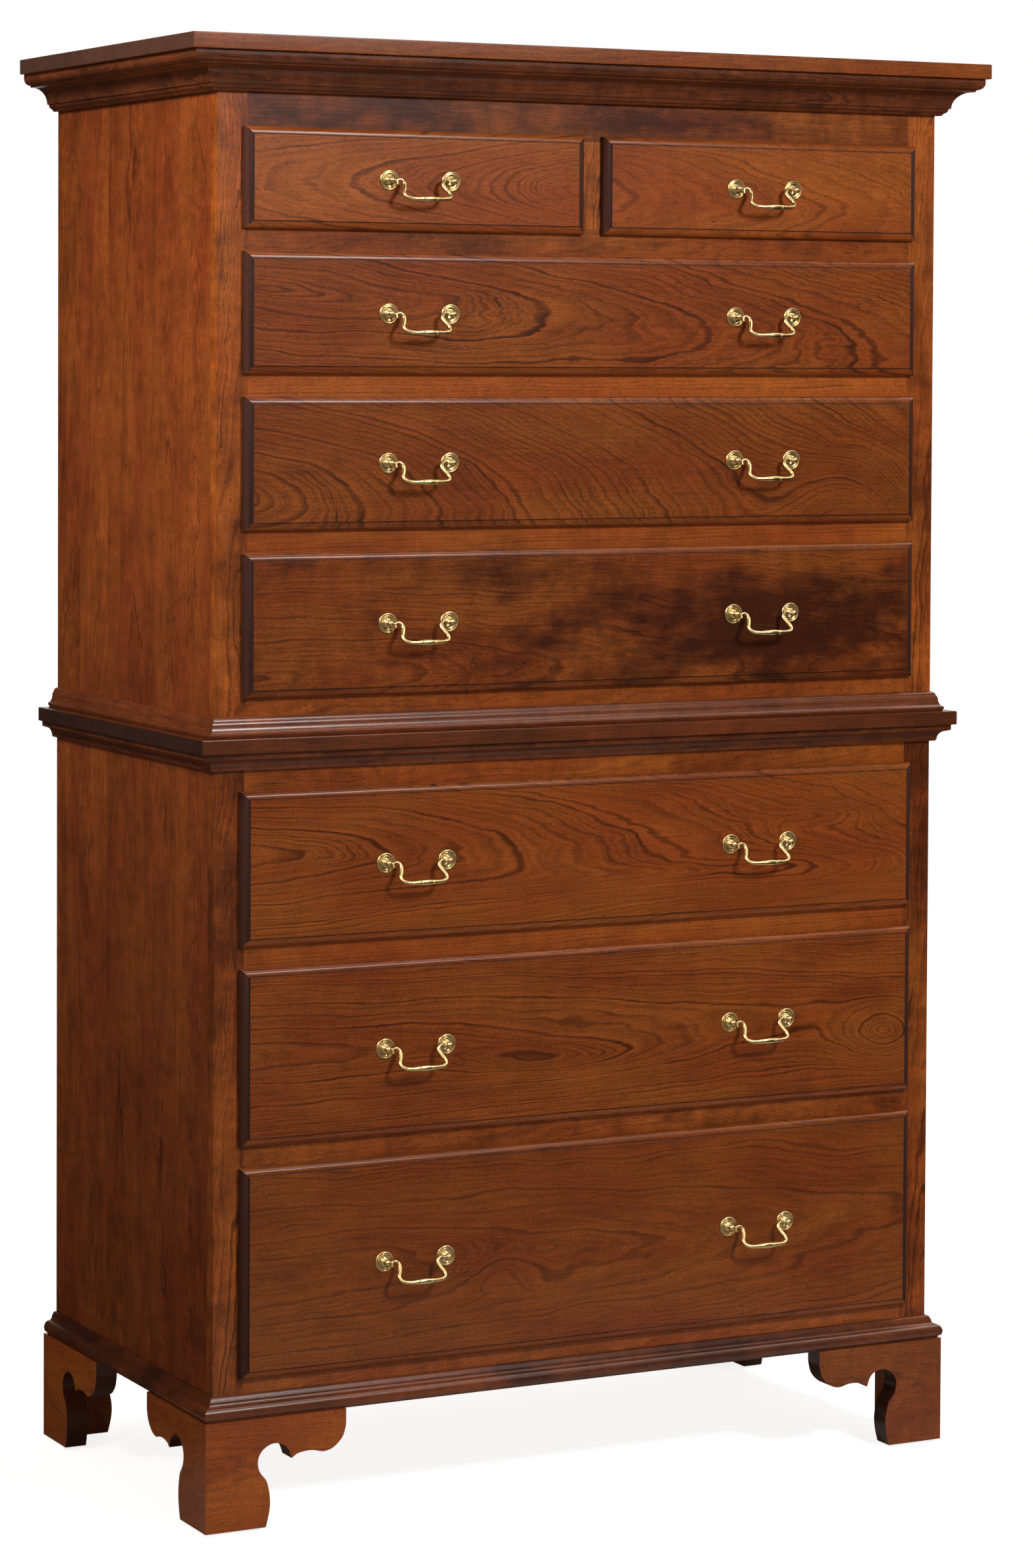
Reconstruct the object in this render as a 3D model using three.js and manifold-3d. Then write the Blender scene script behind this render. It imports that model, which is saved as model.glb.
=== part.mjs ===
// Chest on chest in stained cherry: a wide lower case with three drawers on ogee bracket feet, and an
// upper case with three long drawers and a pair of small ones under a coved cornice. Brass bails hang
// from turned posts. Millimetres, +Z up, the drawer fronts face -Y and the floor is at z = 0.
import * as THREE from 'three';
import { mergeVertices } from 'three/addons/utils/BufferGeometryUtils.js';
import Module from 'manifold-3d';

const wasm = await Module();
wasm.setup();

// Overall width and depth, and how far each case stays inside the other. The face frame of the upper
// case stands in the plane y = 0 at first, and the last lines move the whole chest to its own origin.
const lowerWidth = 1002;
const upperInset = 1;
const upperDepth = 516;
const lowerSetback = 2.6;

// Board stock
const sideStock = 19;
const frameStock = 19.2;
const topStock = 18.8;
const ledgeStock = 17.4;
const backStock = 6;
const backRabbet = 9.5;
const frontStock = 19;

// Overhangs of the two flat boards beyond the case that carries them
const topOverhang = 52.7;
const ledgeOverhang = 25.9;

// Heights of the drawer openings, which grow downwards, and the frame members around them
const opening = {
  pair: 108.3, second: 133.2, third: 146.9, fourth: 160.1, fifth: 172.4, sixth: 199.4, seventh: 240.3,
};
const railHeight = 39.2;
const lowerBottomRail = 52.6;
const lowerTopRail = 53.8;
const upperBottomRail = 52.3;
const upperTopRail = 92.3;
const upperStile = 39.3;
const lowerStile = 38.4;
const centreStile = 39.2;

// Drawer fronts: a lip laps over the opening and carries a thumbnail moulding round a raised field
const lipLap = 6.3;
const frontProud = 12.7;
const lipEdge = 4;
const thumbnailWidth = 8.4;
const thumbnailRise = 7.2;
const fieldFillet = 0.6;
const fieldBevel = 0.8;
const frontClearance = 1.5;

// Drawer boxes and the frames that they run on
const drawerSide = 12.7;
const drawerBottom = 6.4;
const bottomGroove = 12.7;
const drawerTopClearance = 9;
const drawerBackGap = 16;
const runnerClearance = 0.4;
const webStock = 19;
const webMember = 64;
const dustPanel = 5;
const guideHeight = 15;
const dividerStock = 19;

// Bracket feet, each of two mitred brackets with a glue block in the corner, and their glides
const footHeight = 131.9;
const footOverhang = 15.7;
const footBackOverhang = 5;
const bracketStock = 28;
const bracketLength = 184;
const legWidth = 78.3;
const glueBlock = 34;
const glueBlockGap = 10;
const glideRadius = 9;
const glideHeight = 4;
const glideInset = 25;
const glideBevel = 1.2;
const glideSides = 12;

// The bracket's sawn edge, as shares of its length and height: the leg swells, draws in below a round
// notch, and a flat arch between a cusp and a quarter round ends the wing.
const legShares = [[0.449, 0.136], [0.454, 0.265], [0.431, 0.417], [0.385, 0.504], [0.368, 0.588]];
const notchShares = [[0.38, 0.667], [0.421, 0.728], [0.478, 0.758], [0.538, 0.745], [0.583, 0.694]];
const cuspShare = [0.609, 0.603];
const wingShares = [[0.644, 0.637], [0.704, 0.654], [0.766, 0.652], [0.832, 0.631]];
const wingEndShares = [[0.894, 0.648], [0.943, 0.696], [0.981, 0.766], [1, 0.872]];

// Cornice under the top board, measured up from its lower edge and out from the case
const cornice = {
  height: 46, footReach: 4.4, beadReach: 8.2, beadRise: 3.1, ovoloReach: 12.9, ovoloRise: 8.8,
  coveStart: 15.2, coveReach: 34.9, coveRise: 29.8, filletReach: 37.6, filletRise: 32.2,
  topStart: 38.4, topReach: 46.8, topRise: 41,
};

// Waist moulding that stands on the ledge and holds the upper case
const waist = {
  height: 24.6, tuckReach: 11.6, noseReach: 13.2, noseLow: 3.4, noseHigh: 5.6, coveReach: 7.4,
  coveRise: 16.4, filletReach: 6.6, filletRise: 18.6, capReach: 5.2, capRise: 20.4,
};

// Cove moulding under the ledge
const ledgeCove = {
  height: 21.7, footReach: 5.6, lipReach: 7, lipRise: 2.4, coveReach: 16.4, coveRise: 13.2,
  filletReach: 20.3, filletRise: 14.8,
};

// Base moulding on top of the feet
const base = {
  height: 28.4, tuckReach: 12.6, tuckRise: 2.2, noseReach: 17.2, noseRise: 8.6, flareReach: 10.2,
  flareRise: 17.4, neckReach: 6.4, neckRise: 22.6, capReach: 4.6, capRise: 26,
};

// Overrun of every cut past the face that it leaves by
const cutOverrun = 2;

// Facets of curves
const quarterSteps = 4;
const outlineSteps = 1;

// Handles: two turned posts on dished rosettes, and a swan-neck bail between them
const postSpacing = 82.6;
const pivotStandOff = 8.7;
const rosetteRadius = 12.5;
const rosetteSeat = 0.5;
const rosetteEdge = 0.7;
const rosetteRim = 2;
const rimWidth = 1.1;
const dishWidth = 2.6;
const dishHeight = 1;
const postBaseRadius = 5.4;
const postBaseHeight = 2.6;
const postNeckRadius = 2.6;
const postNeckHeight = 4.6;
const ballRadius = 4;
const rosetteSides = 12;
const postSides = 8;
const boreSides = 6;
const pinRadius = 1.2;
const pinClearance = 0.3;
const pinDepth = 3.8;
const boreBottomGap = 0.6;
const pinSides = 6;
// Places round the ball from its neck to its front, as shares of the half turn between them
const ballShares = [0.32, 0.68];

// The bail in its hanging place: half its width at the widest, its drop and how far it stands forward
const bailHalfWidth = 30.7;
const bailDrop = 22.7;
const bailForward = 18.6;
// Centre line of the bail from the tip of its curl to the straight below, as shares of the half
// width, of the drop and of the forward lean, with the part of the rod that gives the radius.
const bailShares = [
  [1.13, -0.24, 0.04, 'curl'], [1.142, -0.1, 0.01, 'curl'], [1.09, 0.015, 0, 'curl'],
  [0.99, 0.04, 0, 'curl'], [0.875, -0.06, 0.02, 'wire'], [0.833, -0.24, 0.11, 'neck'],
  [0.9, -0.48, 0.35, 'neck'], [0.995, -0.7, 0.59, 'wire'], [0.945, -0.89, 0.815, 'wire'],
  [0.73, -0.99, 0.97, 'wire'],
];
const curlRadius = 1.6;
const neckRadius = 2.6;
const wireRadius = 2.2;
const collarRadius = 3.3;
const gripRadius = 3.6;
const gripEndRadius = 2.9;
const collarPlace = 8.8;
const collarWidth = 1;
const bailSides = 6;

// Finishes
const cherry = { color: 0x7a3b1c, roughness: 0.38, metalness: 0 };
const darkCherry = { color: 0x5d2a18, roughness: 0.34, metalness: 0 };
const drawerWood = { color: 0xc9a878, roughness: 0.6, metalness: 0 };
const panelWood = { color: 0xb08a5c, roughness: 0.65, metalness: 0 };
const brass = { color: 0xd9bd72, roughness: 0.18, metalness: 1 };
const nylon = { color: 0x6b6257, roughness: 0.5, metalness: 0 };

// Heights and planes worked out from the sizes above, with the rows of drawers listed upwards
const lowerOpenings = [opening.seventh, opening.sixth, opening.fifth];
const upperOpenings = [opening.fourth, opening.third, opening.second, opening.pair];
const sum = (values) => values.reduce((total, value) => total + value, 0);
const stacked = (openings) => sum(openings) + railHeight * (openings.length - 1);
const lowerCaseHeight = lowerBottomRail + stacked(lowerOpenings) + lowerTopRail;
const upperCaseHeight = upperBottomRail + stacked(upperOpenings) + upperTopRail;
const lowerBase = glideHeight + footHeight;
const ledgeBottom = lowerBase + lowerCaseHeight;
const upperBase = ledgeBottom + ledgeStock;
const topBottom = upperBase + upperCaseHeight;
const lower = {
  name: 'lower', half: lowerWidth / 2, front: lowerSetback, back: upperDepth, base: lowerBase,
  height: lowerCaseHeight, stile: lowerStile, bottomRail: lowerBottomRail, openings: lowerOpenings,
};
const upper = {
  name: 'upper', half: lower.half - upperInset, front: 0, back: upperDepth, base: upperBase,
  height: upperCaseHeight, stile: upperStile, bottomRail: upperBottomRail, openings: upperOpenings,
};

const chest = new THREE.Group();

// Adds one named mesh in its own material
function addPiece(name, geometry, finish, parent = chest) {
  const mesh = new THREE.Mesh(geometry, new THREE.MeshStandardMaterial(finish));
  mesh.name = name;
  parent.add(mesh);
  return mesh;
}

// Six times the volume inside a list of triangles, negative where they face inwards
function signedVolume(points, triangles) {
  return sum(triangles.map(([a, b, c]) => points[a].dot(points[b].clone().cross(points[c]))));
}

// Geometry from points and triangles, with its faces turned outwards
function fromTriangles(points, triangles) {
  const inward = signedVolume(points, triangles) < 0;
  const facing = inward ? triangles.map(([a, b, c]) => [a, c, b]) : triangles;
  const geometry = new THREE.BufferGeometry();
  geometry.setFromPoints(points);
  geometry.setIndex(facing.flat());
  geometry.computeVertexNormals();
  return geometry;
}

// Solid for cutting and joining, with shared points merged and triangles without width dropped
function toSolid(geometry) {
  const bare = geometry.clone();
  bare.deleteAttribute('normal');
  bare.deleteAttribute('uv');
  const merged = mergeVertices(bare);
  const places = merged.attributes.position;
  const points = Array.from({ length: places.count }, (_, index) => (
    new THREE.Vector3().fromBufferAttribute(places, index)
  ));
  const corners = [...merged.index.array];
  const triangles = Array.from({ length: corners.length / 3 }, (_, index) => (
    corners.slice(index * 3, index * 3 + 3)
  ));
  const clean = fromTriangles(points, triangles.filter(([a, b, c]) => a !== b && b !== c && c !== a));
  const mesh = new wasm.Mesh({
    numProp: 3,
    vertProperties: new Float32Array(clean.attributes.position.array),
    triVerts: new Uint32Array(clean.index.array),
  });
  return new wasm.Manifold(mesh);
}

// Geometry of a solid after cutting and joining
function toGeometry(solid) {
  const mesh = solid.getMesh();
  const geometry = new THREE.BufferGeometry();
  geometry.setAttribute('position', new THREE.Float32BufferAttribute(mesh.vertProperties, mesh.numProp));
  geometry.setIndex([...mesh.triVerts]);
  geometry.computeVertexNormals();
  return geometry;
}

// Box between two corners
function box(low, high) {
  const size = high.map((value, axis) => value - low[axis]);
  const middle = high.map((value, axis) => (value + low[axis]) / 2);
  return new THREE.BoxGeometry(...size).translate(...middle);
}

// Triangles of a flat outline, wound the way that the outline runs
function capTriangles(outline) {
  const flat = outline.map(([x, y]) => new THREE.Vector2(x, y));
  const turn = Math.sign(THREE.ShapeUtils.area(flat));
  return THREE.ShapeUtils.triangulateShape(flat, []).map(([a, b, c]) => (
    Math.sign(THREE.ShapeUtils.area([flat[a], flat[b], flat[c]])) === turn ? [a, b, c] : [a, c, b]
  ));
}

// Closed geometry through rings of points with equal counts, capped at both ends. Each ring lists
// [x, y, z], and its cap is a fan where no other triangles are given.
function loft(rings, caps = fan(rings[0].length)) {
  const count = rings[0].length;
  const triangles = [];
  for (let ring = 0; ring < rings.length - 1; ring += 1) {
    for (let point = 0; point < count; point += 1) {
      const a = ring * count + point;
      const b = ring * count + ((point + 1) % count);
      triangles.push([a, b, b + count], [a, b + count, a + count]);
    }
  }
  const last = (rings.length - 1) * count;
  for (const [a, b, c] of caps) {
    triangles.push([a, c, b], [last + a, last + b, last + c]);
  }
  return fromTriangles(rings.flat().map((point) => new THREE.Vector3(...point)), triangles);
}

// Fan of triangles over a convex ring
function fan(count) {
  return Array.from({ length: count - 2 }, (_, index) => [0, index + 1, index + 2]);
}

// Board cut to an outline in x and z, between two y planes
function frontBoard(shape, yFront, yBack) {
  const options = { depth: yBack - yFront, bevelEnabled: false, curveSegments: outlineSteps };
  return new THREE.ExtrudeGeometry(shape, options).rotateX(Math.PI / 2).translate(0, yBack, 0);
}

// Closed solid turned about the y axis from [radius, height] points that start and end on it
function turned(profile, sides) {
  return new THREE.LatheGeometry(profile.map(([radius, height]) => new THREE.Vector2(radius, height)), sides);
}

// Quarter ellipse between two profile points. It leaves the first upright or level and meets the
// second the other way, so it is a round or a hollow by the side that its centre lies on.
function quarter(start, end, upright) {
  const points = [];
  for (let step = 1; step <= quarterSteps; step += 1) {
    const angle = (Math.PI / 2) * (step / quarterSteps);
    const outShare = upright ? 1 - Math.cos(angle) : Math.sin(angle);
    const upShare = upright ? Math.sin(angle) : 1 - Math.cos(angle);
    points.push([start[0] + (end[0] - start[0]) * outShare, start[1] + (end[1] - start[1]) * upShare]);
  }
  return points;
}

// Moulding mitred round the front and both sides of a case, with its back ends cut flush. The
// profile lists [reach from the case, height] in order round the section.
function mitredMoulding(host, bottom, profile) {
  const stations = [[-1, host.back, 0], [-1, host.front, 1], [1, host.front, 1], [1, host.back, 0]];
  const rings = stations.map(([side, y, turn]) => profile.map(([reach, rise]) => (
    [side * (host.half + reach), y - turn * reach, bottom + rise]
  )));
  return loft(rings, capTriangles(profile));
}

// Floor and ceiling of each drawer opening of a case, upwards
function openingRows(host) {
  let floor = host.base + host.bottomRail;
  return host.openings.map((height) => {
    const row = { floor, ceiling: floor + height };
    floor += height + railHeight;
    return row;
  });
}

// The openings that one row has across its case, as [left, right] pairs
function openingSpans(host, index) {
  const reach = host.half - host.stile;
  const isPair = host === upper && index === host.openings.length - 1;
  return isPair ? [[-reach, -centreStile / 2], [centreStile / 2, reach]] : [[-reach, reach]];
}

// Face frame of stiles and rails with an opening for each drawer
function faceFrame(host) {
  const top = host.base + host.height;
  const back = host.front + frameStock;
  const cutFront = host.front - cutOverrun;
  const cutBack = back + cutOverrun;
  let frame = toSolid(box([-host.half, host.front, host.base], [host.half, back, top]));
  openingRows(host).forEach((row, index) => {
    for (const [left, right] of openingSpans(host, index)) {
      const hole = box([left, cutFront, row.floor], [right, cutBack, row.ceiling]);
      frame = frame.subtract(toSolid(hole));
    }
  });
  return toGeometry(frame);
}

// Side board with a rabbet at its back edge for the back panel
function sideBoard(host, side) {
  const inner = host.half - sideStock;
  const rabbet = inner + backRabbet;
  const outline = [
    [host.half, host.front + frameStock], [host.half, host.back], [rabbet, host.back],
    [rabbet, host.back - backStock], [inner, host.back - backStock], [inner, host.front + frameStock],
  ];
  const rings = [host.base, host.base + host.height].map((z) => outline.map(([x, y]) => [side * x, y, z]));
  return loft(rings, capTriangles(outline));
}

// Back panel in the rabbets of the side boards
function backPanel(host) {
  const half = host.half - sideStock + backRabbet;
  return box([-half, host.back - backStock, host.base], [half, host.back, host.base + host.height]);
}

// Web frame that carries one row of drawers: four members round a thin dust panel, with a strip at
// each end that guides the drawer sides.
function webFrame(host, top) {
  const half = host.half - sideStock;
  const guide = host.half - host.stile;
  const front = host.front + frameStock;
  const back = host.back - backStock;
  const bottom = top - webStock;
  const guideTop = top + guideHeight;
  const panelTop = top - (webStock - dustPanel) / 2;
  const low = [webMember - half, front + webMember];
  const high = [half - webMember, back - webMember];
  const above = box([...low, panelTop], [...high, top + cutOverrun]);
  const below = box([...low, bottom - cutOverrun], [...high, panelTop - dustPanel]);
  const track = box([-guide, front - cutOverrun, top], [guide, back + cutOverrun, guideTop + cutOverrun]);
  const blank = toSolid(box([-half, front, bottom], [half, back, guideTop]));
  return toGeometry([above, below, track].reduce((solid, cut) => solid.subtract(toSolid(cut)), blank));
}

// Divider between the small drawers, standing on a guide as wide as the centre stile
function smallDrawerDivider(host) {
  const floor = openingRows(host).at(-1).floor;
  const top = host.base + host.height;
  const wide = centreStile / 2;
  const thin = dividerStock / 2;
  const outline = [
    [-wide, floor], [wide, floor], [wide, floor + guideHeight], [thin, floor + guideHeight],
    [thin, top], [-thin, top], [-thin, floor + guideHeight], [-wide, floor + guideHeight],
  ];
  const shape = new THREE.Shape(outline.map(([x, z]) => new THREE.Vector2(x, z)));
  return frontBoard(shape, host.front + frameStock, host.back - backStock);
}

// Section of the cornice from its inner lower corner: bead, ovolo, large cove, fillet and top ovolo
function corniceProfile() {
  const c = cornice;
  const bead = [c.beadReach, c.beadRise];
  const coveStart = [c.coveStart, c.ovoloRise];
  const topStart = [c.topStart, c.filletRise];
  return [
    [0, 0], [c.footReach, 0], ...quarter([c.footReach, 0], bead, false),
    ...quarter(bead, [c.ovoloReach, c.ovoloRise], false), coveStart,
    ...quarter(coveStart, [c.coveReach, c.coveRise], true), [c.filletReach, c.coveRise], topStart,
    ...quarter(topStart, [c.topReach, c.topRise], false), [c.topReach, c.height], [0, c.height],
  ];
}

// Section of the waist moulding: tucked foot, nose, cove, fillet and a small round cap
function waistProfile() {
  const w = waist;
  const nose = [w.noseReach, w.noseHigh];
  const cap = [w.capReach, w.capRise];
  return [
    [0, 0], [w.tuckReach, 0], [w.noseReach, w.noseLow], nose,
    ...quarter(nose, [w.coveReach, w.coveRise], false), [w.filletReach, w.filletRise], cap,
    ...quarter(cap, [0, w.height], true),
  ];
}

// Section of the cove moulding below the ledge
function ledgeCoveProfile() {
  const l = ledgeCove;
  const lip = [l.lipReach, l.lipRise];
  return [
    [0, 0], [l.footReach, 0], lip, ...quarter(lip, [l.coveReach, l.coveRise], true),
    [l.filletReach, l.filletRise], [l.filletReach, l.height], [0, l.height],
  ];
}

// Section of the base moulding: round nose over a tuck, ogee flare and a small round cap
function baseProfile() {
  const b = base;
  const tuck = [b.tuckReach, b.tuckRise];
  const nose = [b.noseReach, b.noseRise];
  const flare = [b.flareReach, b.flareRise];
  const cap = [b.capReach, b.capRise];
  return [
    [0, 0], [b.tuckReach, 0], tuck, ...quarter(tuck, nose, false), ...quarter(nose, flare, true),
    ...quarter(flare, [b.neckReach, b.neckRise], false), cap, ...quarter(cap, [0, b.height], true),
  ];
}

// Outline of one bracket in x and z, from the corner of the foot along its wing
function bracketOutline() {
  const place = ([along, up]) => new THREE.Vector2(along * bracketLength, glideHeight + up * footHeight);
  const shape = new THREE.Shape();
  shape.moveTo(0, glideHeight);
  shape.lineTo(legWidth, glideHeight);
  shape.splineThru([...legShares, ...notchShares, cuspShare].map(place));
  shape.splineThru([...wingShares, ...wingEndShares].map(place));
  shape.lineTo(bracketLength, lowerBase);
  shape.lineTo(0, lowerBase);
  return shape;
}

// Bracket foot with its outer corner at the origin of x and y and its wings along +x and +y
function bracketFoot() {
  const along = frontBoard(bracketOutline(), 0, bracketStock);
  const swapAxes = new THREE.Matrix4().makeBasis(
    new THREE.Vector3(0, 1, 0), new THREE.Vector3(1, 0, 0), new THREE.Vector3(0, 0, 1),
  );
  const across = along.clone().applyMatrix4(swapAxes);
  const outer = bracketStock / 2;
  const inner = bracketStock + glueBlock;
  const block = box([outer, outer, glideHeight + glueBlockGap], [inner, inner, lowerBase]);
  return toGeometry(toSolid(along).add(toSolid(across)).add(toSolid(block)));
}

// Glide below the corner of a foot, about its own axis with the floor at z = 0
function glide() {
  const profile = [
    [0, 0], [glideRadius - glideBevel, 0], [glideRadius, glideBevel], [glideRadius, glideHeight],
    [0, glideHeight],
  ];
  return turned(profile, glideSides).rotateX(Math.PI / 2);
}

// Board of a drawer front about its own centre, its lip lying on the plane y = 0 of the face frame
function frontWithThumbnail(width, height) {
  const tongue = lipLap + frontClearance;
  const steps = [[tongue, frontStock - frontProud], [tongue, 0], [0, 0], [0, -lipEdge]];
  const curve = quarter([0, lipEdge], [thumbnailWidth, lipEdge + thumbnailRise], true);
  steps.push(...curve.map(([inset, proud]) => [inset, -proud]));
  steps.push([thumbnailWidth + fieldFillet, -lipEdge - thumbnailRise]);
  steps.push([thumbnailWidth + fieldFillet + fieldBevel, -frontProud]);
  const rings = steps.map(([inset, y]) => {
    const x = width / 2 + lipLap - inset;
    const z = height / 2 + lipLap - inset;
    return [[-x, y, -z], [x, y, -z], [x, y, z], [-x, y, z]];
  });
  return toSolid(loft(rings));
}

// Rosette let a little into the drawer front, with its ball-ended post, standing out from y = 0
// towards -y. The ball is bored from the side that faces the bail.
function handlePost(boreSide) {
  const dish = rosetteRadius - rimWidth - dishWidth;
  const rosette = turned([
    [0, -rosetteSeat], [rosetteRadius, -rosetteSeat], [rosetteRadius, rosetteEdge],
    [rosetteRadius - rimWidth, rosetteRim], [dish, dishHeight], [0, dishHeight],
  ], rosetteSides);
  const neckAngle = Math.asin(postNeckRadius / ballRadius);
  const ball = ballShares.map((share) => {
    const angle = neckAngle + (Math.PI - neckAngle) * share;
    return [ballRadius * Math.sin(angle), pivotStandOff - ballRadius * Math.cos(angle)];
  });
  const post = turned([
    [0, dishHeight / 2], [postBaseRadius, dishHeight / 2], [postBaseRadius, postBaseHeight],
    [postNeckRadius, postNeckHeight], ...ball, [0, pivotStandOff + ballRadius],
  ], postSides);
  const boreRadius = pinRadius + pinClearance;
  const boreLength = ballRadius + cutOverrun;
  const bore = new THREE.CylinderGeometry(boreRadius, boreRadius, boreLength, boreSides)
    .rotateZ(Math.PI / 2)
    .translate(boreSide * (boreLength / 2 + ballRadius - pinDepth - boreBottomGap), pivotStandOff, 0);
  const standing = toSolid(rosette).add(toSolid(post)).subtract(toSolid(bore));
  return standing.rotate([180, 0, 0]);
}

// Drawer front with its handle posts, one pair for each handle centre
function drawerFront(width, height, handleCentres) {
  let solid = frontWithThumbnail(width, height);
  for (const centre of handleCentres) {
    for (const side of [-1, 1]) {
      solid = solid.add(handlePost(-side).translate([centre + side * postSpacing / 2, -frontProud, 0]));
    }
  }
  return toGeometry(solid);
}

// Drawer box about the centre of its opening: two sides, a back and a bottom in their grooves
function drawerBox(width, height, depth) {
  const half = width / 2 - frontClearance;
  const front = frontStock - frontProud;
  const floor = runnerClearance - height / 2;
  const top = height / 2 - drawerTopClearance;
  const inner = half - drawerSide;
  const innerBack = depth - drawerSide;
  const cutFront = front - cutOverrun;
  const panel = floor + bottomGroove;
  const blank = toSolid(box([-half, front, floor], [half, depth, top]));
  const inside = box([-inner, cutFront, panel + drawerBottom], [inner, innerBack, top + cutOverrun]);
  const below = box([-inner, cutFront, floor - cutOverrun], [inner, innerBack, panel]);
  return toGeometry(blank.subtract(toSolid(inside)).subtract(toSolid(below)));
}

// Stations of the bail from one tip to the other, as a point and the radius of the rod there
function bailStations() {
  const radii = { curl: curlRadius, neck: neckRadius, wire: wireRadius };
  const bend = bailShares.map(([out, up, forward, part]) => ({
    point: [out * bailHalfWidth, -forward * bailForward, up * bailDrop], radius: radii[part],
  }));
  const grip = [
    [collarPlace + collarWidth, wireRadius], [collarPlace, collarRadius],
    [collarPlace - collarWidth, gripEndRadius],
  ].map(([x, radius]) => ({ point: [x, -bailForward, -bailDrop], radius }));
  const half = [...bend, ...grip];
  const middle = { point: [0, -bailForward, -bailDrop], radius: gripRadius };
  const other = half.map(({ point: [x, y, z], radius }) => ({ point: [-x, y, z], radius })).reverse();
  return [...half, middle, ...other];
}

// Swan-neck bail about its pivot axis, hanging forward from the posts. A pin stands out at each end
// where the curl crosses that axis.
function bail() {
  const stations = bailStations();
  const points = stations.map(({ point }) => new THREE.Vector3(...point));
  const across = new THREE.Vector3(0, -bailDrop, bailForward).normalize();
  const rings = stations.map(({ radius }, index) => {
    const before = points[Math.max(index - 1, 0)];
    const after = points[Math.min(index + 1, points.length - 1)];
    const along = after.clone().sub(before).normalize();
    const inPlane = along.clone().cross(across).normalize();
    const normal = inPlane.clone().cross(along);
    return Array.from({ length: bailSides }, (_, side) => {
      const angle = (2 * Math.PI * side) / bailSides;
      const reach = inPlane.clone().multiplyScalar(Math.cos(angle)).addScaledVector(normal, Math.sin(angle));
      return points[index].clone().addScaledVector(reach, radius).toArray();
    });
  });
  const nearAxis = points.reduce((best, point) => (Math.abs(point.z) < Math.abs(best.z) ? point : best));
  const pinStart = Math.abs(nearAxis.x);
  const pinEnd = postSpacing / 2 - ballRadius + pinDepth;
  const pins = [-1, 1].map((side) => (
    new THREE.CylinderGeometry(pinRadius, pinRadius, pinEnd - pinStart, pinSides)
      .rotateZ(Math.PI / 2)
      .translate(side * (pinEnd + pinStart) / 2, 0, 0)
  ));
  return toGeometry(pins.reduce((solid, pin) => solid.add(toSolid(pin)), toSolid(loft(rings))));
}

// One drawer in its closed place: its front with the posts, its box and a bail for each handle
function addDrawer(host, name, row, [left, right], handles) {
  const centre = (left + right) / 2;
  const width = right - left;
  const height = row.ceiling - row.floor;
  const drawer = new THREE.Group();
  drawer.position.set(centre, host.front, (row.floor + row.ceiling) / 2);
  chest.add(drawer);
  const depth = host.back - host.front - backStock - drawerBackGap;
  addPiece(`${name}_front`, drawerFront(width, height, handles.map(({ place }) => place)), cherry, drawer);
  addPiece(`${name}_box`, drawerBox(width, height, depth), drawerWood, drawer);
  for (const { label, place } of handles) {
    const hanging = addPiece(`${name}_${label}`, bail(), brass, drawer);
    hanging.position.set(place, -frontProud - pivotStandOff, 0);
  }
}

// Carcase of one case: face frame, two side boards, back panel and a web frame below each row
function addCase(host) {
  addPiece(`${host.name}_face_frame`, faceFrame(host), cherry);
  addPiece(`${host.name}_left_side`, sideBoard(host, -1), cherry);
  addPiece(`${host.name}_right_side`, sideBoard(host, 1), cherry);
  addPiece(`${host.name}_back`, backPanel(host), panelWood);
  openingRows(host).forEach((row, index) => {
    addPiece(`${host.name}_web_frame_${index + 1}`, webFrame(host, row.floor), panelWood);
  });
}

// Flat board that covers a case and overhangs its front and sides
function coverBoard(host, overhang, stock) {
  const bottom = host.base + host.height;
  const half = host.half + overhang;
  return box([-half, host.front - overhang, bottom], [half, host.back, bottom + stock]);
}

// Cases, boards and mouldings
addCase(lower);
addCase(upper);
addPiece('upper_divider', smallDrawerDivider(upper), panelWood);
addPiece('ledge_board', coverBoard(lower, ledgeOverhang, ledgeStock), darkCherry);
addPiece('top_board', coverBoard(upper, topOverhang, topStock), cherry);
addPiece('cornice_moulding', mitredMoulding(upper, topBottom - cornice.height, corniceProfile()), darkCherry);
addPiece('waist_moulding', mitredMoulding(upper, upperBase, waistProfile()), darkCherry);
const ledgeCoveBase = ledgeBottom - ledgeCove.height;
addPiece('ledge_cove_moulding', mitredMoulding(lower, ledgeCoveBase, ledgeCoveProfile()), darkCherry);
addPiece('base_moulding', mitredMoulding(lower, lowerBase, baseProfile()), darkCherry);

// Feet and glides at the four corners, each a quarter turn on from the one before
const footHalf = lower.half + footOverhang;
const footFront = lower.front - footOverhang;
const footBack = lower.back + footBackOverhang;
const corners = [
  ['front_left', -footHalf, footFront], ['front_right', footHalf, footFront],
  ['back_right', footHalf, footBack], ['back_left', -footHalf, footBack],
];
corners.forEach(([place, x, y], quarterTurns) => {
  const foot = addPiece(`${place}_foot`, bracketFoot(), cherry);
  foot.position.set(x, y, 0);
  foot.rotation.z = (quarterTurns * Math.PI) / 2;
  const inset = new THREE.Vector3(glideInset, glideInset, 0).applyEuler(foot.rotation);
  addPiece(`${place}_glide`, glide(), nylon).position.set(x + inset.x, y + inset.y, 0);
});

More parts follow.
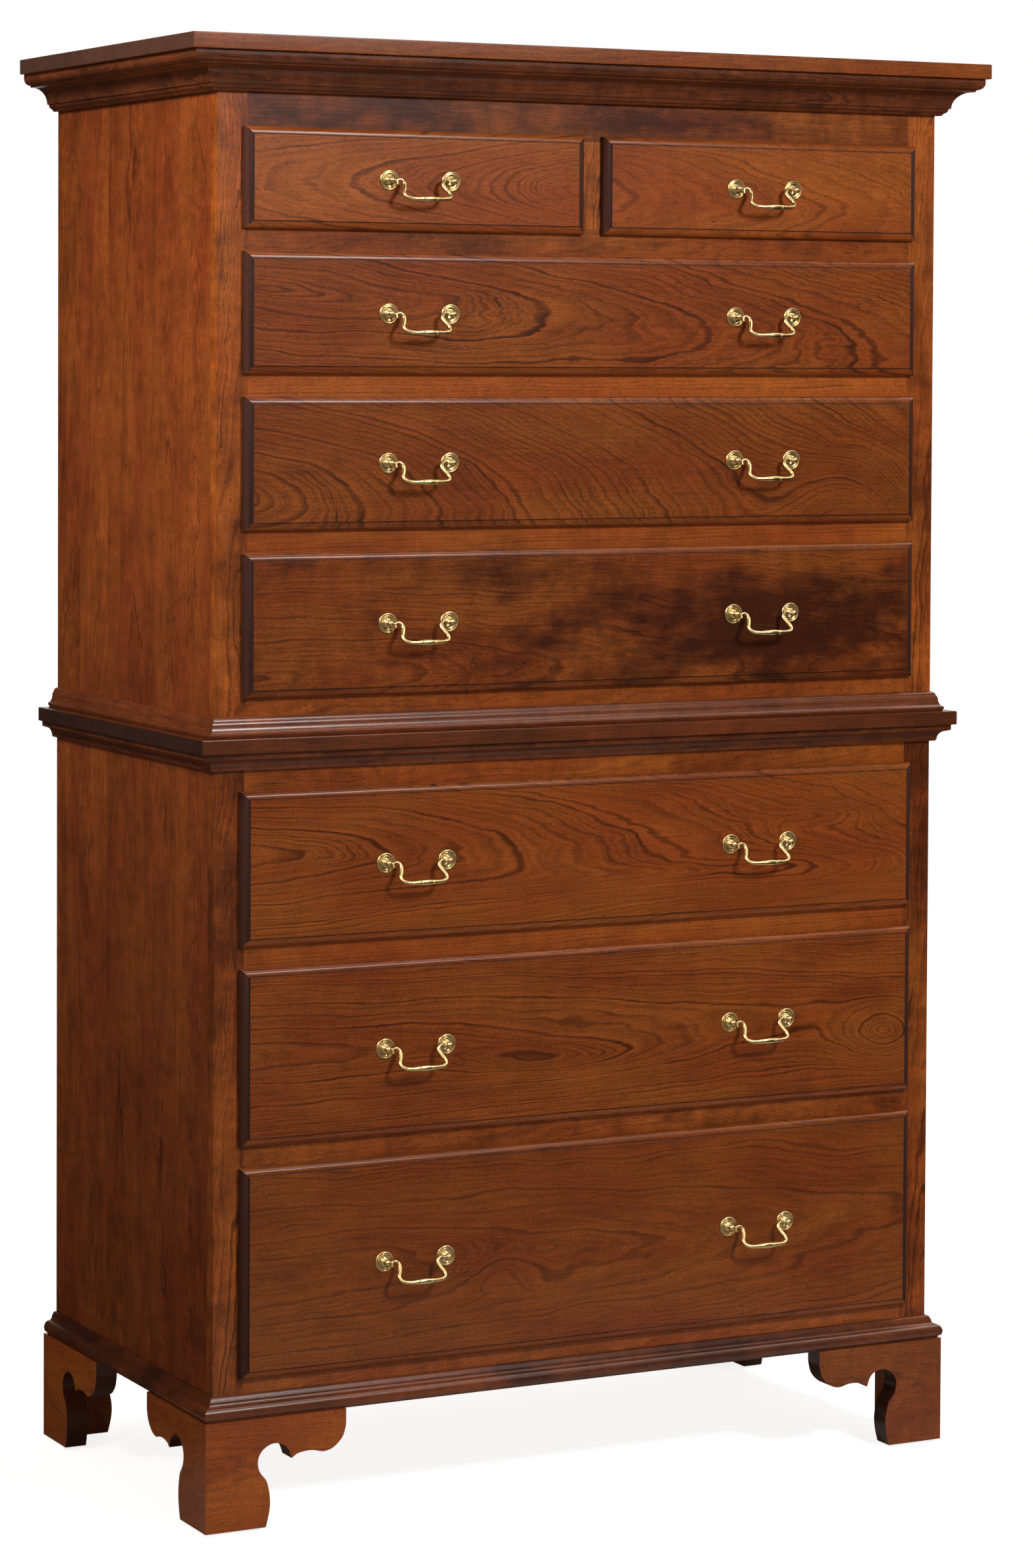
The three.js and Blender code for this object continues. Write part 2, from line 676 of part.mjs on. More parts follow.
// Drawers, numbered downwards by row as they are read from the front
const rowCount = upperOpenings.length + lowerOpenings.length;
const [smallLeft, smallRight] = openingSpans(upper, upperOpenings.length - 1);
const handlePlace = (smallRight[0] + smallRight[1]) / 2;
const pairOfHandles = [
  { label: 'left_bail', place: -handlePlace }, { label: 'right_bail', place: handlePlace },
];
const oneHandle = [{ label: 'bail', place: 0 }];
const rows = [lower, upper].flatMap((host) => (
  openingRows(host).map((row, index) => ({ host, row, index }))
));
rows.forEach(({ host, row, index }, count) => {
  const name = `drawer_${rowCount - count}`;
  if (openingSpans(host, index).length > 1) {
    addDrawer(host, `${name}_left`, row, smallLeft, oneHandle);
    addDrawer(host, `${name}_right`, row, smallRight, oneHandle);
  } else {
    addDrawer(host, name, row, openingSpans(host, index)[0], pairOfHandles);
  }
});

// Origin on the floor below the middle of the chest
chest.position.y = -(footBack + upper.front - topOverhang) / 2;

export default chest;
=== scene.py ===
import logging
import math
import random
from dataclasses import dataclass, replace
from enum import Enum
from functools import partial
from typing import Any, Callable, Iterable, Optional, Sequence, Union

import bmesh
import bpy
from bpy.types import Material, Node, NodeSocket, NodeTree, Object, World
from mathutils import Matrix, Vector


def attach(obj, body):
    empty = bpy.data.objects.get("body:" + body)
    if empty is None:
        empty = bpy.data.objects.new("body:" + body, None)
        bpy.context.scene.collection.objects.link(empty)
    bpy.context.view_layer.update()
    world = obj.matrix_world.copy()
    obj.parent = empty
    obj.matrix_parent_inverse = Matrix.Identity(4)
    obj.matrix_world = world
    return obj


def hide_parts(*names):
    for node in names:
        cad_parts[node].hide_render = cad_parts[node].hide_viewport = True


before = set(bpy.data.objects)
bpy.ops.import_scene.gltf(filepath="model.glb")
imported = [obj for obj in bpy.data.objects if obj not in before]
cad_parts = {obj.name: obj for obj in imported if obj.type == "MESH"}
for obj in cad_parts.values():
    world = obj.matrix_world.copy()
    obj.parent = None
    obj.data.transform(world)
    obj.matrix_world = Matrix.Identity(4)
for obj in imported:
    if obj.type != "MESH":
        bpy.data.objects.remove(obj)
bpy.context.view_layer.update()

LOG = logging.getLogger("chest_on_chest")
MM = 0.001
# The sizes below count from the face frame of the upper case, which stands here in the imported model
FACE_FRAME_Y = -234.15
# Vertex attribute that is 1 in the corners where glazing stays behind and painted shade darkens the recesses
SHADE_AND_GLAZE = "shade_and_glaze"
# Turns a solid that points to the front so that it points up
STAND_UP = Matrix.Rotation(-math.pi / 2, 4, "X")
WHITE = (1.0, 1.0, 1.0, 1.0)

Point = tuple[float, float, float]
Pair = tuple[float, float]
Colour = tuple[float, float, float, float]
Form = bmesh.types.BMesh
Wire = Union[Node, NodeSocket]
AddNode = Callable[..., Node]


class Cut(Enum):
    """Which of x, y and z run along, across and through a board."""

    FRONT_RAIL = (0, 2, 1)
    FRONT_STILE = (2, 0, 1)
    SIDE_PANEL = (2, 1, 0)
    SIDE_RAIL = (1, 2, 0)
    FLAT = (0, 1, 2)


class Slot(Enum):
    """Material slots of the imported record."""

    CASE = "cherry_case"
    FRONT = "cherry_front"
    MOULDING = "cherry_moulding"
    DRAWER_BOX = "drawer_box_wood"
    BRASS = "polished_brass"
    GLIDE = "glide"


class Pattern(Enum):
    """Length and width of the cells of a pattern in the wood in mm, its detail and its roughness.

    Fibres and pores of cherry are a tenth of a millimetre wide, too fine to show here, so both are drawn
    about ten times as wide.
    """

    WANDER = (170.0, 46.0, 4.0, 0.5)
    FADE = (90.0, 30.0, 2.0, 0.5)
    DRIFT = (240.0, 70.0, 2.0, 0.5)
    CLOUD = (85.0, 42.0, 7.0, 0.62)
    BAND = (16.0, 42.0, 4.0, 0.5)
    FIBRE = (60.0, 1.3, 3.0, 0.5)
    PORE = (4.0, 0.8, 1.0, 0.5)
    GUM = (11.0, 2.6, 2.0, 0.5)


def linear(hex_colour: str) -> Colour:
    """Turn an sRGB hex colour into a linear one.

    Args:
        hex_colour: Colour as #rrggbb.

    Returns:
        Linear red, green, blue and an alpha of 1.
    """
    shares = (int(hex_colour[start:start + 2], 16) / 255 for start in (1, 3, 5))
    return (*(share / 12.92 if share <= 0.04045 else ((share + 0.055) / 1.055) ** 2.4 for share in shares), 1.0)


def add_node(tree: NodeTree, kind: str, *inputs: Any, **settings: Any) -> Node:
    """Add a shader node with its settings and its values or links.

    Args:
        tree: Node tree that it joins.
        kind: Type of the node without the words ShaderNode, and after a dot its operation.
        inputs: Value, output or node for each input in use, in order, or one dict of them by name. A node
            stands for its first output in use.
        settings: Properties of the node.

    Returns:
        The new node.
    """
    kind, _, operation = kind.partition(".")
    node = tree.nodes.new(f"ShaderNode{kind}")
    if operation:
        node.operation = operation
    for name, value in settings.items():
        setattr(node, name, value)
    if inputs and isinstance(inputs[0], dict):
        fed = [(node.inputs[name], value) for name, value in inputs[0].items()]
    else:
        fed = list(zip([socket for socket in node.inputs if socket.enabled], inputs))
    for socket, value in fed:
        if isinstance(value, Node):
            value = next(output for output in value.outputs if output.enabled)
        if isinstance(value, NodeSocket):
            tree.links.new(value, socket)
        else:
            socket.default_value = value
    return node


def cleared(owner: Union[Material, World]) -> AddNode:
    """Clear the nodes of a material or world.

    Args:
        owner: The new material or world.

    Returns:
        The call that adds a node to it.
    """
    owner.use_nodes = True
    owner.node_tree.nodes.clear()
    return partial(add_node, owner.node_tree)


@dataclass(frozen=True)
class Swell:
    """Place where the growth rings bulge, as round a knot. Lengths in mm from the board's middle."""

    along: float
    across: float
    reach_along: float
    reach_across: float
    height: float


@dataclass(frozen=True)
class Figure:
    """How a board was sawn from its log, which gives the lines on its face. Lengths in mm."""

    # Place of the pith from the middle of the board: along, across and through it
    pith: Point = (0.0, 0.0, 90.0)
    # How far the pith moves across and through the board for each millimetre along it
    lean: Pair = (0.0, 0.04)
    ring: float = 3.4
    # How far the rings wander from true circles
    sway: float = 11.0
    swells: tuple[Swell, ...] = ()
    # Places where the stain took darker, where the height of a swell is its share of full depth
    stains: tuple[Swell, ...] = ()
    # Shares from 0 to 1: strength of the late-wood lines, of the cloudy stain and of the cross curl
    lines: float = 0.55
    clouds: float = 0.35
    curl: float = 0.25
    # Depth of the colour, where 1 is the finish as written
    # Set board by board, it holds both the board's own colour and painted light and shade, lightening or darkening a
    # board as light falls on it
    tone: float = 1.0
    # Glue lines across a panel of several boards, from its middle
    seams: tuple[float, ...] = ()
    # Half length and half width of a field inside a mitred moulding, whose ends drink stain as end grain does
    field_half: Optional[Pair] = None


# Darkness through the growth of one year: pale early wood, then the dark line of late wood
YEAR = ((0.0, 0.2), (0.12, 0.0), (0.6, 0.22), (0.88, 1.0), (1.0, 0.85))
# Poor and good times crowd and spread the rings: how often they change for each year, and by how many years
TIMES, TIMES_REACH = 0.13, 6.0
# Power that makes bold years rare, and how often thin lines come within a year
RARITY, THIN_LINES = 1.8, 2.7
# How many cells from the board's middle a pattern may start
PATTERN_START = 50
# Share of its height that a swell keeps at its reach
SWELL_EDGE = 0.37
# Width in mm of the first board of a glued panel, and how far its neighbours' figures lie from its own:
# along it in mm, across it in widths, through it in mm, and in depth of colour
FIRST_BOARD = 90.0
BOARD_SHIFTS = ((300, 900), (0.8, 1.2), (-25, 25), (-0.13, 0.13))
# Values of a pattern between which its effect grows, with that effect where it isn't from 0 to 1
BOLD = (0.0, 1.0, 0.4, 0.95)
FADED = (0.36, 0.6, 0.5, 1.0)
THIN = (0.3, 0.75, -0.14, 0.42)
END_GRAIN = (0.04, 0.4)
WARM = (0.38, 0.62)
STAINED = (0.44, 0.7)
PORES = (0.5, 0.72)
GUM_STREAKS = (0.735, 0.76, 0.0, 0.85)
LIGHT_AND_DARK = (0.3, 0.7)
# Share of full darkness that a pore has
PORE_DEPTH = 0.55


class Grain:
    """Shader nodes that draw the figure of one board, at places in mm along, across and through it."""

    def __init__(self, add: AddNode, cut: Cut, figure: Figure, middle: Vector, seed: int) -> None:
        """Find the place on the board, and shift it past each glue line so that each board has its own figure.

        Args:
            add: Call that adds a node.
            cut: How the board's length, width and thickness lie.
            figure: Figure of the board.
            middle: Middle of the board in mm.
            seed: Seed of the board's random places.
        """
        self.add, self.cut, self.figure, self.draw = add, cut, figure, random.Random(seed)
        here = add("TexCoord").outputs["Object"]
        axes = add("SeparateXYZ", add("VectorMath.MULTIPLY_ADD", here, (1 / MM,) * 3, tuple(-middle))).outputs
        self.place = add("CombineXYZ", *(axes[axis] for axis in cut.value))
        self.tone: Optional[Node] = None
        across = add("SeparateXYZ", self.place).outputs[1]
        depth = 0.0
        for index, seam in enumerate(figure.seams):
            past = add("Math.GREATER_THAN", across, seam)
            width = seam - figure.seams[index - 1] if index else FIRST_BOARD
            along, widths, through, next_depth = (self.draw.uniform(*reach) for reach in BOARD_SHIFTS)
            self.place = add("VectorMath.MULTIPLY_ADD", past, (along, -width * widths, through), self.place)
            self.tone = add("Math.MULTIPLY_ADD", past, next_depth - depth, self.tone if index else 0.0)
            depth = next_depth

    def noise(self, pattern: Pattern) -> Node:
        """Lay a pattern over the board from a random start.

        Args:
            pattern: The pattern to lay.

        Returns:
            Its noise.
        """
        length, width, detail, edges = pattern.value
        start = tuple(self.draw.uniform(-PATTERN_START, PATTERN_START) for _ in range(3))
        cells = (1 / length, 1 / width, 1 / width)
        return self.add("TexNoise", self.add("VectorMath.MULTIPLY_ADD", self.place, cells, start), 1.0, detail, edges)

    def ring_lines(self) -> Node:
        """Draw the late-wood lines where the growth rings meet the surface.

        Returns:
            Strength of the lines, from 0 to 1.
        """
        add, figure = self.add, self.figure
        away = add("SeparateXYZ", add("VectorMath.SUBTRACT", self.place, figure.pith)).outputs
        sides = [add("Math.MULTIPLY_ADD", away[0], -lean, side) for side, lean in zip(away[1:], figure.lean)]
        distance = add("VectorMath.LENGTH", add("CombineXYZ", 0.0, *sides))
        distance = add("Math.MULTIPLY_ADD", self.noise(Pattern.WANDER), 2 * figure.sway, distance)
        for swell in figure.swells:
            distance = self.raised(distance, swell)
        rings = add("Math.MULTIPLY", distance, 1 / figure.ring)
        times = add("TexNoise", rings, TIMES, 1.0, noise_dimensions="1D")
        count = add("Math.MULTIPLY_ADD", times, TIMES_REACH, rings)
        late = add("ValToRGB", add("Math.FRACT", count))
        stops = late.color_ramp.elements
        while len(stops) < len(YEAR):
            stops.new(0.5)
        for stop, (place, grey) in zip(stops, YEAR):
            stop.position = place
            stop.color = (grey, grey, grey, 1.0)
        chance = add("TexWhiteNoise", add("Math.FLOOR", count), noise_dimensions="1D")
        bold = add("MapRange", add("Math.POWER", chance, RARITY), *BOLD)
        fading = add("MapRange", self.noise(Pattern.FADE), *FADED)
        thin = add("MapRange", add("TexNoise", count, THIN_LINES, 3.0, noise_dimensions="1D"), *THIN)
        return add("Math.MULTIPLY_ADD", late, add("Math.MULTIPLY", bold, fading), thin, use_clamp=True)

    def raised(self, ground: Node, swell: Swell) -> Node:
        """Raise a value round the middle of a swell.

        Args:
            ground: Value over the board.
            swell: Where it rises, and how far.

        Returns:
            The raised value.
        """
        near = self.add("VectorMath.SUBTRACT", self.place, (swell.along, swell.across, 0.0))
        share = self.add("VectorMath.MULTIPLY", near, (1 / swell.reach_along, 1 / swell.reach_across, 0.0))
        hill = self.add("Math.POWER", SWELL_EDGE, self.add("VectorMath.DOT_PRODUCT", share, share))
        return self.add("Math.MULTIPLY_ADD", hill, swell.height, ground)

    def thirsty(self, shade_and_glaze_share: NodeSocket) -> tuple[Node, Optional[Node]]:
        """Find where the wood drinks more stain, and where it is dull.

        Args:
            shade_and_glaze_share: Share of glazing and painted shade in the corners.

        Returns:
            Share of end grain, and share of dull places: corners with glazing and painted shade, and the moulded ends
            of a front.
        """
        add = self.add
        fibres = [0.0, 0.0, 0.0]
        fibres[self.cut.value[0]] = 1.0
        facing = add("VectorMath.DOT_PRODUCT", add("NewGeometry").outputs["Normal"], fibres)
        ends = add("MapRange", add("Math.ABSOLUTE", facing), *END_GRAIN)
        if not self.figure.field_half:
            return ends, None
        place = add("SeparateXYZ", self.place).outputs
        along, across = (
            add("Math.SUBTRACT", add("Math.ABSOLUTE", place[axis]), half)
            for axis, half in enumerate(self.figure.field_half)
        )
        moulded = add("Math.GREATER_THAN", along, add("Math.MAXIMUM", across, 0.0))
        return add("Math.MAXIMUM", ends, moulded), add("Math.MAXIMUM", shade_and_glaze_share, moulded)


@dataclass(frozen=True)
class SawnWood:
    """A planed and sanded wood under its finish, with rings, fibres, pores and end grain."""

    name: str
    early: str
    warm: str
    late: str
    shade: str
    pore: str
    end: str
    # Lacquer: a clear coat that lies smooth over the grain
    roughness: float
    specular: float
    coat: float
    coat_roughness: float
    # How much the roughness varies, and what end grain and the corners with glazing and painted shade add to it
    gloss: Pair = (-0.06, 0.08)
    dullness: float = 0.35
    # Share by which the fibres lighten and darken the face
    streaks: float = 0.2
    # Height of the fibres in mm, and how strongly it shows
    relief: float = 0.05
    bump: float = 0.35

    def dress(self, piece: Object, cut: Cut, figure: Figure, seed: int) -> None:
        """Give a board its own material, cut from its own log.

        Args:
            piece: Board to dress.
            cut: How the board's length, width and thickness lie.
            figure: Figure of the board.
            seed: Seed of the board's random places.
        """
        corners = [Vector(corner) / MM for corner in piece.bound_box]
        middle = sum(corners, Vector()) / len(corners)
        material = bpy.data.materials.new(f"{self.name}_{piece.name}")
        add = cleared(material)
        grain = Grain(add, cut, figure, middle, seed)
        line = grain.ring_lines()
        # Glazing and painted shade in the corners of a drawer front: they darken the colour and dull the gloss
        shade_and_glaze_share = add("Attribute", attribute_name=SHADE_AND_GLAZE).outputs["Fac"]
        ends, dull = grain.thirsty(shade_and_glaze_share)
        colour, fibre, pores = self._colour(grain, line, ends, shade_and_glaze_share)
        rough = add("MapRange", fibre, 0.0, 1.0, *(self.roughness + more for more in self.gloss))
        coat: Union[float, Node] = self.coat
        if dull:
            rough = add("Math.MULTIPLY_ADD", dull, self.dullness, rough)
            coat = add("MapRange", dull, 0.0, 1.0, self.coat, 0.0)
        height = add("Math.MULTIPLY_ADD", pores, -1.0, fibre)
        add("OutputMaterial", add("BsdfPrincipled", {
            "Base Color": colour, "Roughness": rough, "Specular IOR Level": self.specular,
            "Coat Weight": coat, "Coat Roughness": self.coat_roughness,
            "Normal": add("Bump", {"Height": height, "Strength": self.bump, "Distance": self.relief * MM}),
        }))
        piece.data.materials.clear()
        piece.data.materials.append(material)

    def _colour(self, grain: Grain, line: Node, ends: Node, shade_and_glaze_share: NodeSocket) -> tuple[Node, Node, Node]:
        """Colour the board.

        Args:
            grain: Nodes of the board.
            line: Strength of the late-wood lines.
            ends: Share of end grain.
            shade_and_glaze_share: Share of glazing and painted shade in the corners.

        Returns:
            Colour of the stained wood, and the fibres and pores that also give its relief.
        """
        add, figure = grain.add, grain.figure
        drift, cloud, band, fibre, speck, gum = (
            grain.noise(pattern) for pattern in
            (Pattern.DRIFT, Pattern.CLOUD, Pattern.BAND, Pattern.FIBRE, Pattern.PORE, Pattern.GUM)
        )
        for stain in figure.stains:
            cloud = grain.raised(cloud, stain)
        pores = add("MapRange", speck, *PORES)
        fleck = add("Math.MULTIPLY_ADD", pores, PORE_DEPTH, add("MapRange", gum, *GUM_STREAKS))
        ground: Union[Colour, Node] = linear(self.early)
        for share, laid in (
            (add("MapRange", drift, *WARM), self.warm), (ends, self.end),
            (add("MapRange", cloud, *STAINED, 0.0, figure.clouds), self.shade),
            (add("Math.MULTIPLY", line, figure.lines), self.late),
            # Pores and gum streaks, and the corners darkened by glazing and painted shade
            (add("Math.ADD", fleck, shade_and_glaze_share, use_clamp=True), self.pore),
        ):
            ground = add("Mix", share, ground, linear(laid), data_type="RGBA")
        curled, streaked = (
            add("MapRange", pattern, *LIGHT_AND_DARK, -reach, reach)
            for pattern, reach in ((band, figure.curl / 2), (fibre, self.streaks))
        )
        depth = add("Math.ADD", add("Math.ADD", curled, streaked), figure.tone)
        if grain.tone:
            depth = add("Math.ADD", depth, grain.tone)
        return add("VectorMath.SCALE", ground, depth), fibre, pores


# Black cherry, planed and sanded, under red-brown stain and sprayed satin lacquer: warm, even and clear,
# with fine dark lines and a soft sheen
CHERRY = SawnWood(
    name="cherry_satin_lacquer", early="#9b511a", warm="#914416", late="#371405", shade="#471c09",
    pore="#2a1108", end="#3a1a0f", roughness=0.31, specular=0.25, coat=0.14, coat_roughness=0.2,
)
# The same cherry in the glued-up sides, whose boards are redder
CHERRY_SIDE = replace(CHERRY, name="cherry_side_lacquer", early="#944a1c", warm="#893e1a")
# The same cherry run through a moulder, with more stain in its cut profile: darker and glossier
CHERRY_MOULDED = SawnWood(
    name="cherry_moulded_lacquer", early="#7c3d1c", warm="#6a3518", late="#35180f", shade="#371b14",
    pore="#241009", end="#3f261d", roughness=0.3, specular=0.3, coat=0.2, coat_roughness=0.14,
)
# Soft maple, planed and sealed: pale and plain, with a dull sheen
MAPLE = SawnWood(
    name="maple_sealed", early="#d9b98a", warm="#cda874", late="#a57d4c", shade="#b8935f",
    pore="#8a6339", end="#b08a5c", roughness=0.5, specular=0.3, coat=0.08, coat_roughness=0.3,
)
# Yellow poplar, planed and bare: greenish cream and matt
POPLAR = SawnWood(
    name="poplar_planed", early="#bfa876", warm="#b39a68", late="#8c7748", shade="#97865a",
    pore="#6e5c37", end="#94805a", roughness=0.65, specular=0.25, coat=0.0, coat_roughness=0.3,
)
# Rotary-cut cherry plywood, stained but not rubbed out: wide pale figure and almost no gloss
CHERRY_PLY = SawnWood(
    name="cherry_plywood_stained", early="#8a5230", warm="#7b4628", late="#5a2f19", shade="#643820",
    pore="#3c1d10", end="#5b3c28", roughness=0.6, specular=0.25, coat=0.0, coat_roughness=0.3,
)


@dataclass(frozen=True)
class CastFinish:
    """Finish of a small cast or moulded part, with clouds in its colour and gloss and an uneven surface."""

    name: str
    colour: str
    cloud_colour: str
    roughness: float
    gloss: Pair
    # Size of the clouds in mm and their detail, and the same of the unevenness, with its strength
    cloud: Pair
    wave: Pair
    bump: float
    metallic: float = 0.0
    # Values of the noise between which a cloud grows, if not from 0 to 1
    cloud_range: Optional[Pair] = None
    wave_depth: float = 0.1

    def material(self) -> Material:
        """Build the material that all such parts share.

        Returns:
            The material.
        """
        material = bpy.data.materials.new(self.name)
        add = cleared(material)
        place = add("TexCoord").outputs["Object"]
        cloud, wave = (add("TexNoise", place, 1 / (size * MM), detail) for size, detail in (self.cloud, self.wave))
        share = add("MapRange", cloud, *self.cloud_range) if self.cloud_range else cloud
        add("OutputMaterial", add("BsdfPrincipled", {
            "Base Color": add("Mix", share, linear(self.colour), linear(self.cloud_colour), data_type="RGBA"),
            "Roughness": add("MapRange", cloud, 0.0, 1.0, *(self.roughness + more for more in self.gloss)),
            "Normal": add("Bump", {"Height": wave, "Strength": self.bump, "Distance": self.wave_depth * MM}),
            "Metallic": self.metallic,
        }))
        return material


# Cast brass, polished and lacquered: pale yellow with sharp soft-edged highlights, a cloudy lacquer and the
# waves that polishing leaves
BRASS = CastFinish(
    name="brass_polished_lacquered", colour="#d4bb89", cloud_colour="#c1a46c", roughness=0.24, gloss=(-0.05, 0.09),
    cloud=(9.0, 3.0), wave=(3.0, 1.0), bump=0.25, metallic=1.0,
)
# Injection-moulded nylon: grey-brown, slightly waxy, with scuffs from the floor
NYLON = CastFinish(
    name="nylon_moulded", colour="#5c5248", cloud_colour="#7a7066", roughness=0.5, gloss=(-0.1, 0.1),
    cloud=(2.5, 4.0), wave=(2.5, 4.0), bump=0.3, cloud_range=(0.45, 0.7),
)


def add_piece(
    name: str, form: Form, body: str, stands_for: Iterable[str], sharp: float = 32.0
) -> Object:
    """Turn a form in mm into a piece in metres that rides on a body.

    Args:
        name: Name of the piece.
        form: Mesh in mm, counted from the upper face frame. It is used up.
        body: Body that the piece moves with.
        stands_for: Solids that the piece replaces.
        sharp: Angle in degrees above which an edge stays sharp.

    Returns:
        The new object.
    """
    bmesh.ops.recalc_face_normals(form, faces=form.faces)
    form.transform(Matrix.Scale(MM, 4) @ Matrix.Translation((0.0, FACE_FRAME_Y, 0.0)))
    mesh = bpy.data.meshes.new(name)
    form.to_mesh(mesh)
    form.free()
    mesh.shade_smooth()
    mesh.set_sharp_from_angle(angle=math.radians(sharp))
    piece = bpy.data.objects.new(name, mesh)
    bpy.context.scene.collection.objects.link(piece)
    # Keeps flat faces flat to the eye next to their eased edges
    piece.modifiers.new("even_shading", "WEIGHTED_NORMAL").keep_sharp = True
    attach(piece, body)
    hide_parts(*stands_for)
    LOG.info("%s rides on %s", name, body)
    return piece


def eased_board(low: Point, high: Point, ease: float) -> Form:
    """Board between two corners with its edges eased.

    Args:
        low: Lowest corner in mm.
        high: Highest corner in mm.
        ease: Radius of the eased edges in mm.

    Returns:
        The board.
    """
    form = bmesh.new()
    size = [end - start for start, end in zip(low, high)]
    middle = [(end + start) / 2 for start, end in zip(low, high)]
    bmesh.ops.create_cube(form, size=1.0, matrix=Matrix.Translation(middle) @ Matrix.Diagonal((*size, 1.0)))
    bmesh.ops.bevel(form, geom=form.edges[:], offset=ease, segments=2, profile=0.5, affect="EDGES")
    return form


def loft(rings: Sequence[Sequence[Point]]) -> Form:
    """Closed skin over rings with equal counts of points.

    Args:
        rings: Rings of points in mm.

    Returns:
        The skin.
    """
    form = bmesh.new()
    rows = [[form.verts.new(point) for point in ring] for ring in rings]
    count = len(rows[0])
    for row, following in zip(rows, rows[1:]):
        for index in range(count):
            after = (index + 1) % count
            form.faces.new((row[index], row[after], following[after], following[index]))
    form.faces.new(rows[0])
    form.faces.new(rows[-1])
    return form


def turned(profile: Sequence[Pair], centre: Point, sides: int = 48) -> Form:
    """Solid turned about an axis that points to the front.

    Args:
        profile: Radius and forward reach of each point, from axis to axis, in mm.
        centre: Place where the forward reach is 0.
        sides: Number of facets round the axis.

    Returns:
        The solid.
    """
    form = bmesh.new()
    x, y, z = centre
    angles = [2 * math.pi * step / sides for step in range(sides)]
    rows = [
        [
            form.verts.new((x + radius * math.cos(angle), y - reach, z + radius * math.sin(angle)))
            for angle in (angles if radius > 0 else angles[:1])
        ]
        for radius, reach in profile
    ]
    for row, following in zip(rows, rows[1:]):
        for index in range(sides):
            after = (index + 1) % sides
            corners = (row[index % len(row)], row[after % len(row)])
            corners += (following[after % len(following)], following[index % len(following)])
            form.faces.new(tuple(dict.fromkeys(corners)))
    return form


def joined(forms: Iterable[Form]) -> Form:
    """Put several forms into one.

    Args:
        forms: Forms to join. They are used up.

    Returns:
        One form that holds them all.
    """
    whole = bmesh.new()
    for form in forms:
        scratch = bpy.data.meshes.new("scratch")
        form.to_mesh(scratch)
        form.free()
        whole.from_mesh(scratch)
        bpy.data.meshes.remove(scratch)
    return whole


def quarter(start: Pair, end: Pair, upright: bool, steps: int = 10) -> list[Pair]:
    """Quarter ellipse between two points of a profile.

    Args:
        start: First point, which isn't repeated.
        end: Last point.
        upright: Whether the curve leaves the first point upright.
        steps: Number of points.

    Returns:
        Points of the curve after the first.
    """
    points = []
    for step in range(1, steps + 1):
        angle = math.pi / 2 * step / steps
        shares = [math.sin(angle), 1 - math.cos(angle)]
        if upright:
            shares.reverse()
        points.append(tuple(first + (last - first) * share for first, last, share in zip(start, end, shares)))
    return points


def softened(
    profile: Sequence[Pair], ease: float = 0.45, most: float = 0.4, least_turn: float = 25.0
) -> list[Pair]:
    """Ease the sharp corners of a profile that stand away from the case.

    Args:
        profile: Points as reach and rise, in order.
        ease: Length that each corner loses on both of its sides, in mm.
        most: Share of a side that a corner may take.
        least_turn: Turn in degrees from which a corner counts as sharp.

    Returns:
        Points with two in the place of each sharp corner.
    """
    points: list[Pair] = []
    for index, here in enumerate(profile):
        corner = Vector(here)
        back = Vector(profile[index - 1]) - corner
        ahead = Vector(profile[(index + 1) % len(profile)]) - corner
        turn = math.pi - back.angle(ahead) if back.length and ahead.length else 0.0
        if here[0] <= 0 or turn < math.radians(least_turn):
            points.append(here)
        else:
            points += [tuple(corner + side.normalized() * min(ease, side.length * most)) for side in (back, ahead)]
    return points


def spline(points: Sequence[Sequence[float]], steps: int = 5) -> list[tuple[float, ...]]:
    """Smooth curve through points.

    Args:
        points: Points that it passes through.
        steps: Number of points for each stretch.

    Returns:
        Points of the curve, both ends included.
    """
    curve = [tuple(points[0])]
    last = len(points) - 1
    for index in range(last):
        stretch = (points[max(index - 1, 0)], points[index], points[index + 1], points[min(index + 2, last)])
        for step in range(1, steps + 1):
            share = step / steps
            square, cube = share ** 2, share ** 3
            curve.append(tuple(
                (2 * cube - 3 * square + 1) * start + (3 * square - 2 * cube) * end
                + (cube - 2 * square + share) * (end - before) / 2 + (cube - square) * (after - start) / 2
                for before, start, end, after in zip(*stretch)
            ))
    return curve


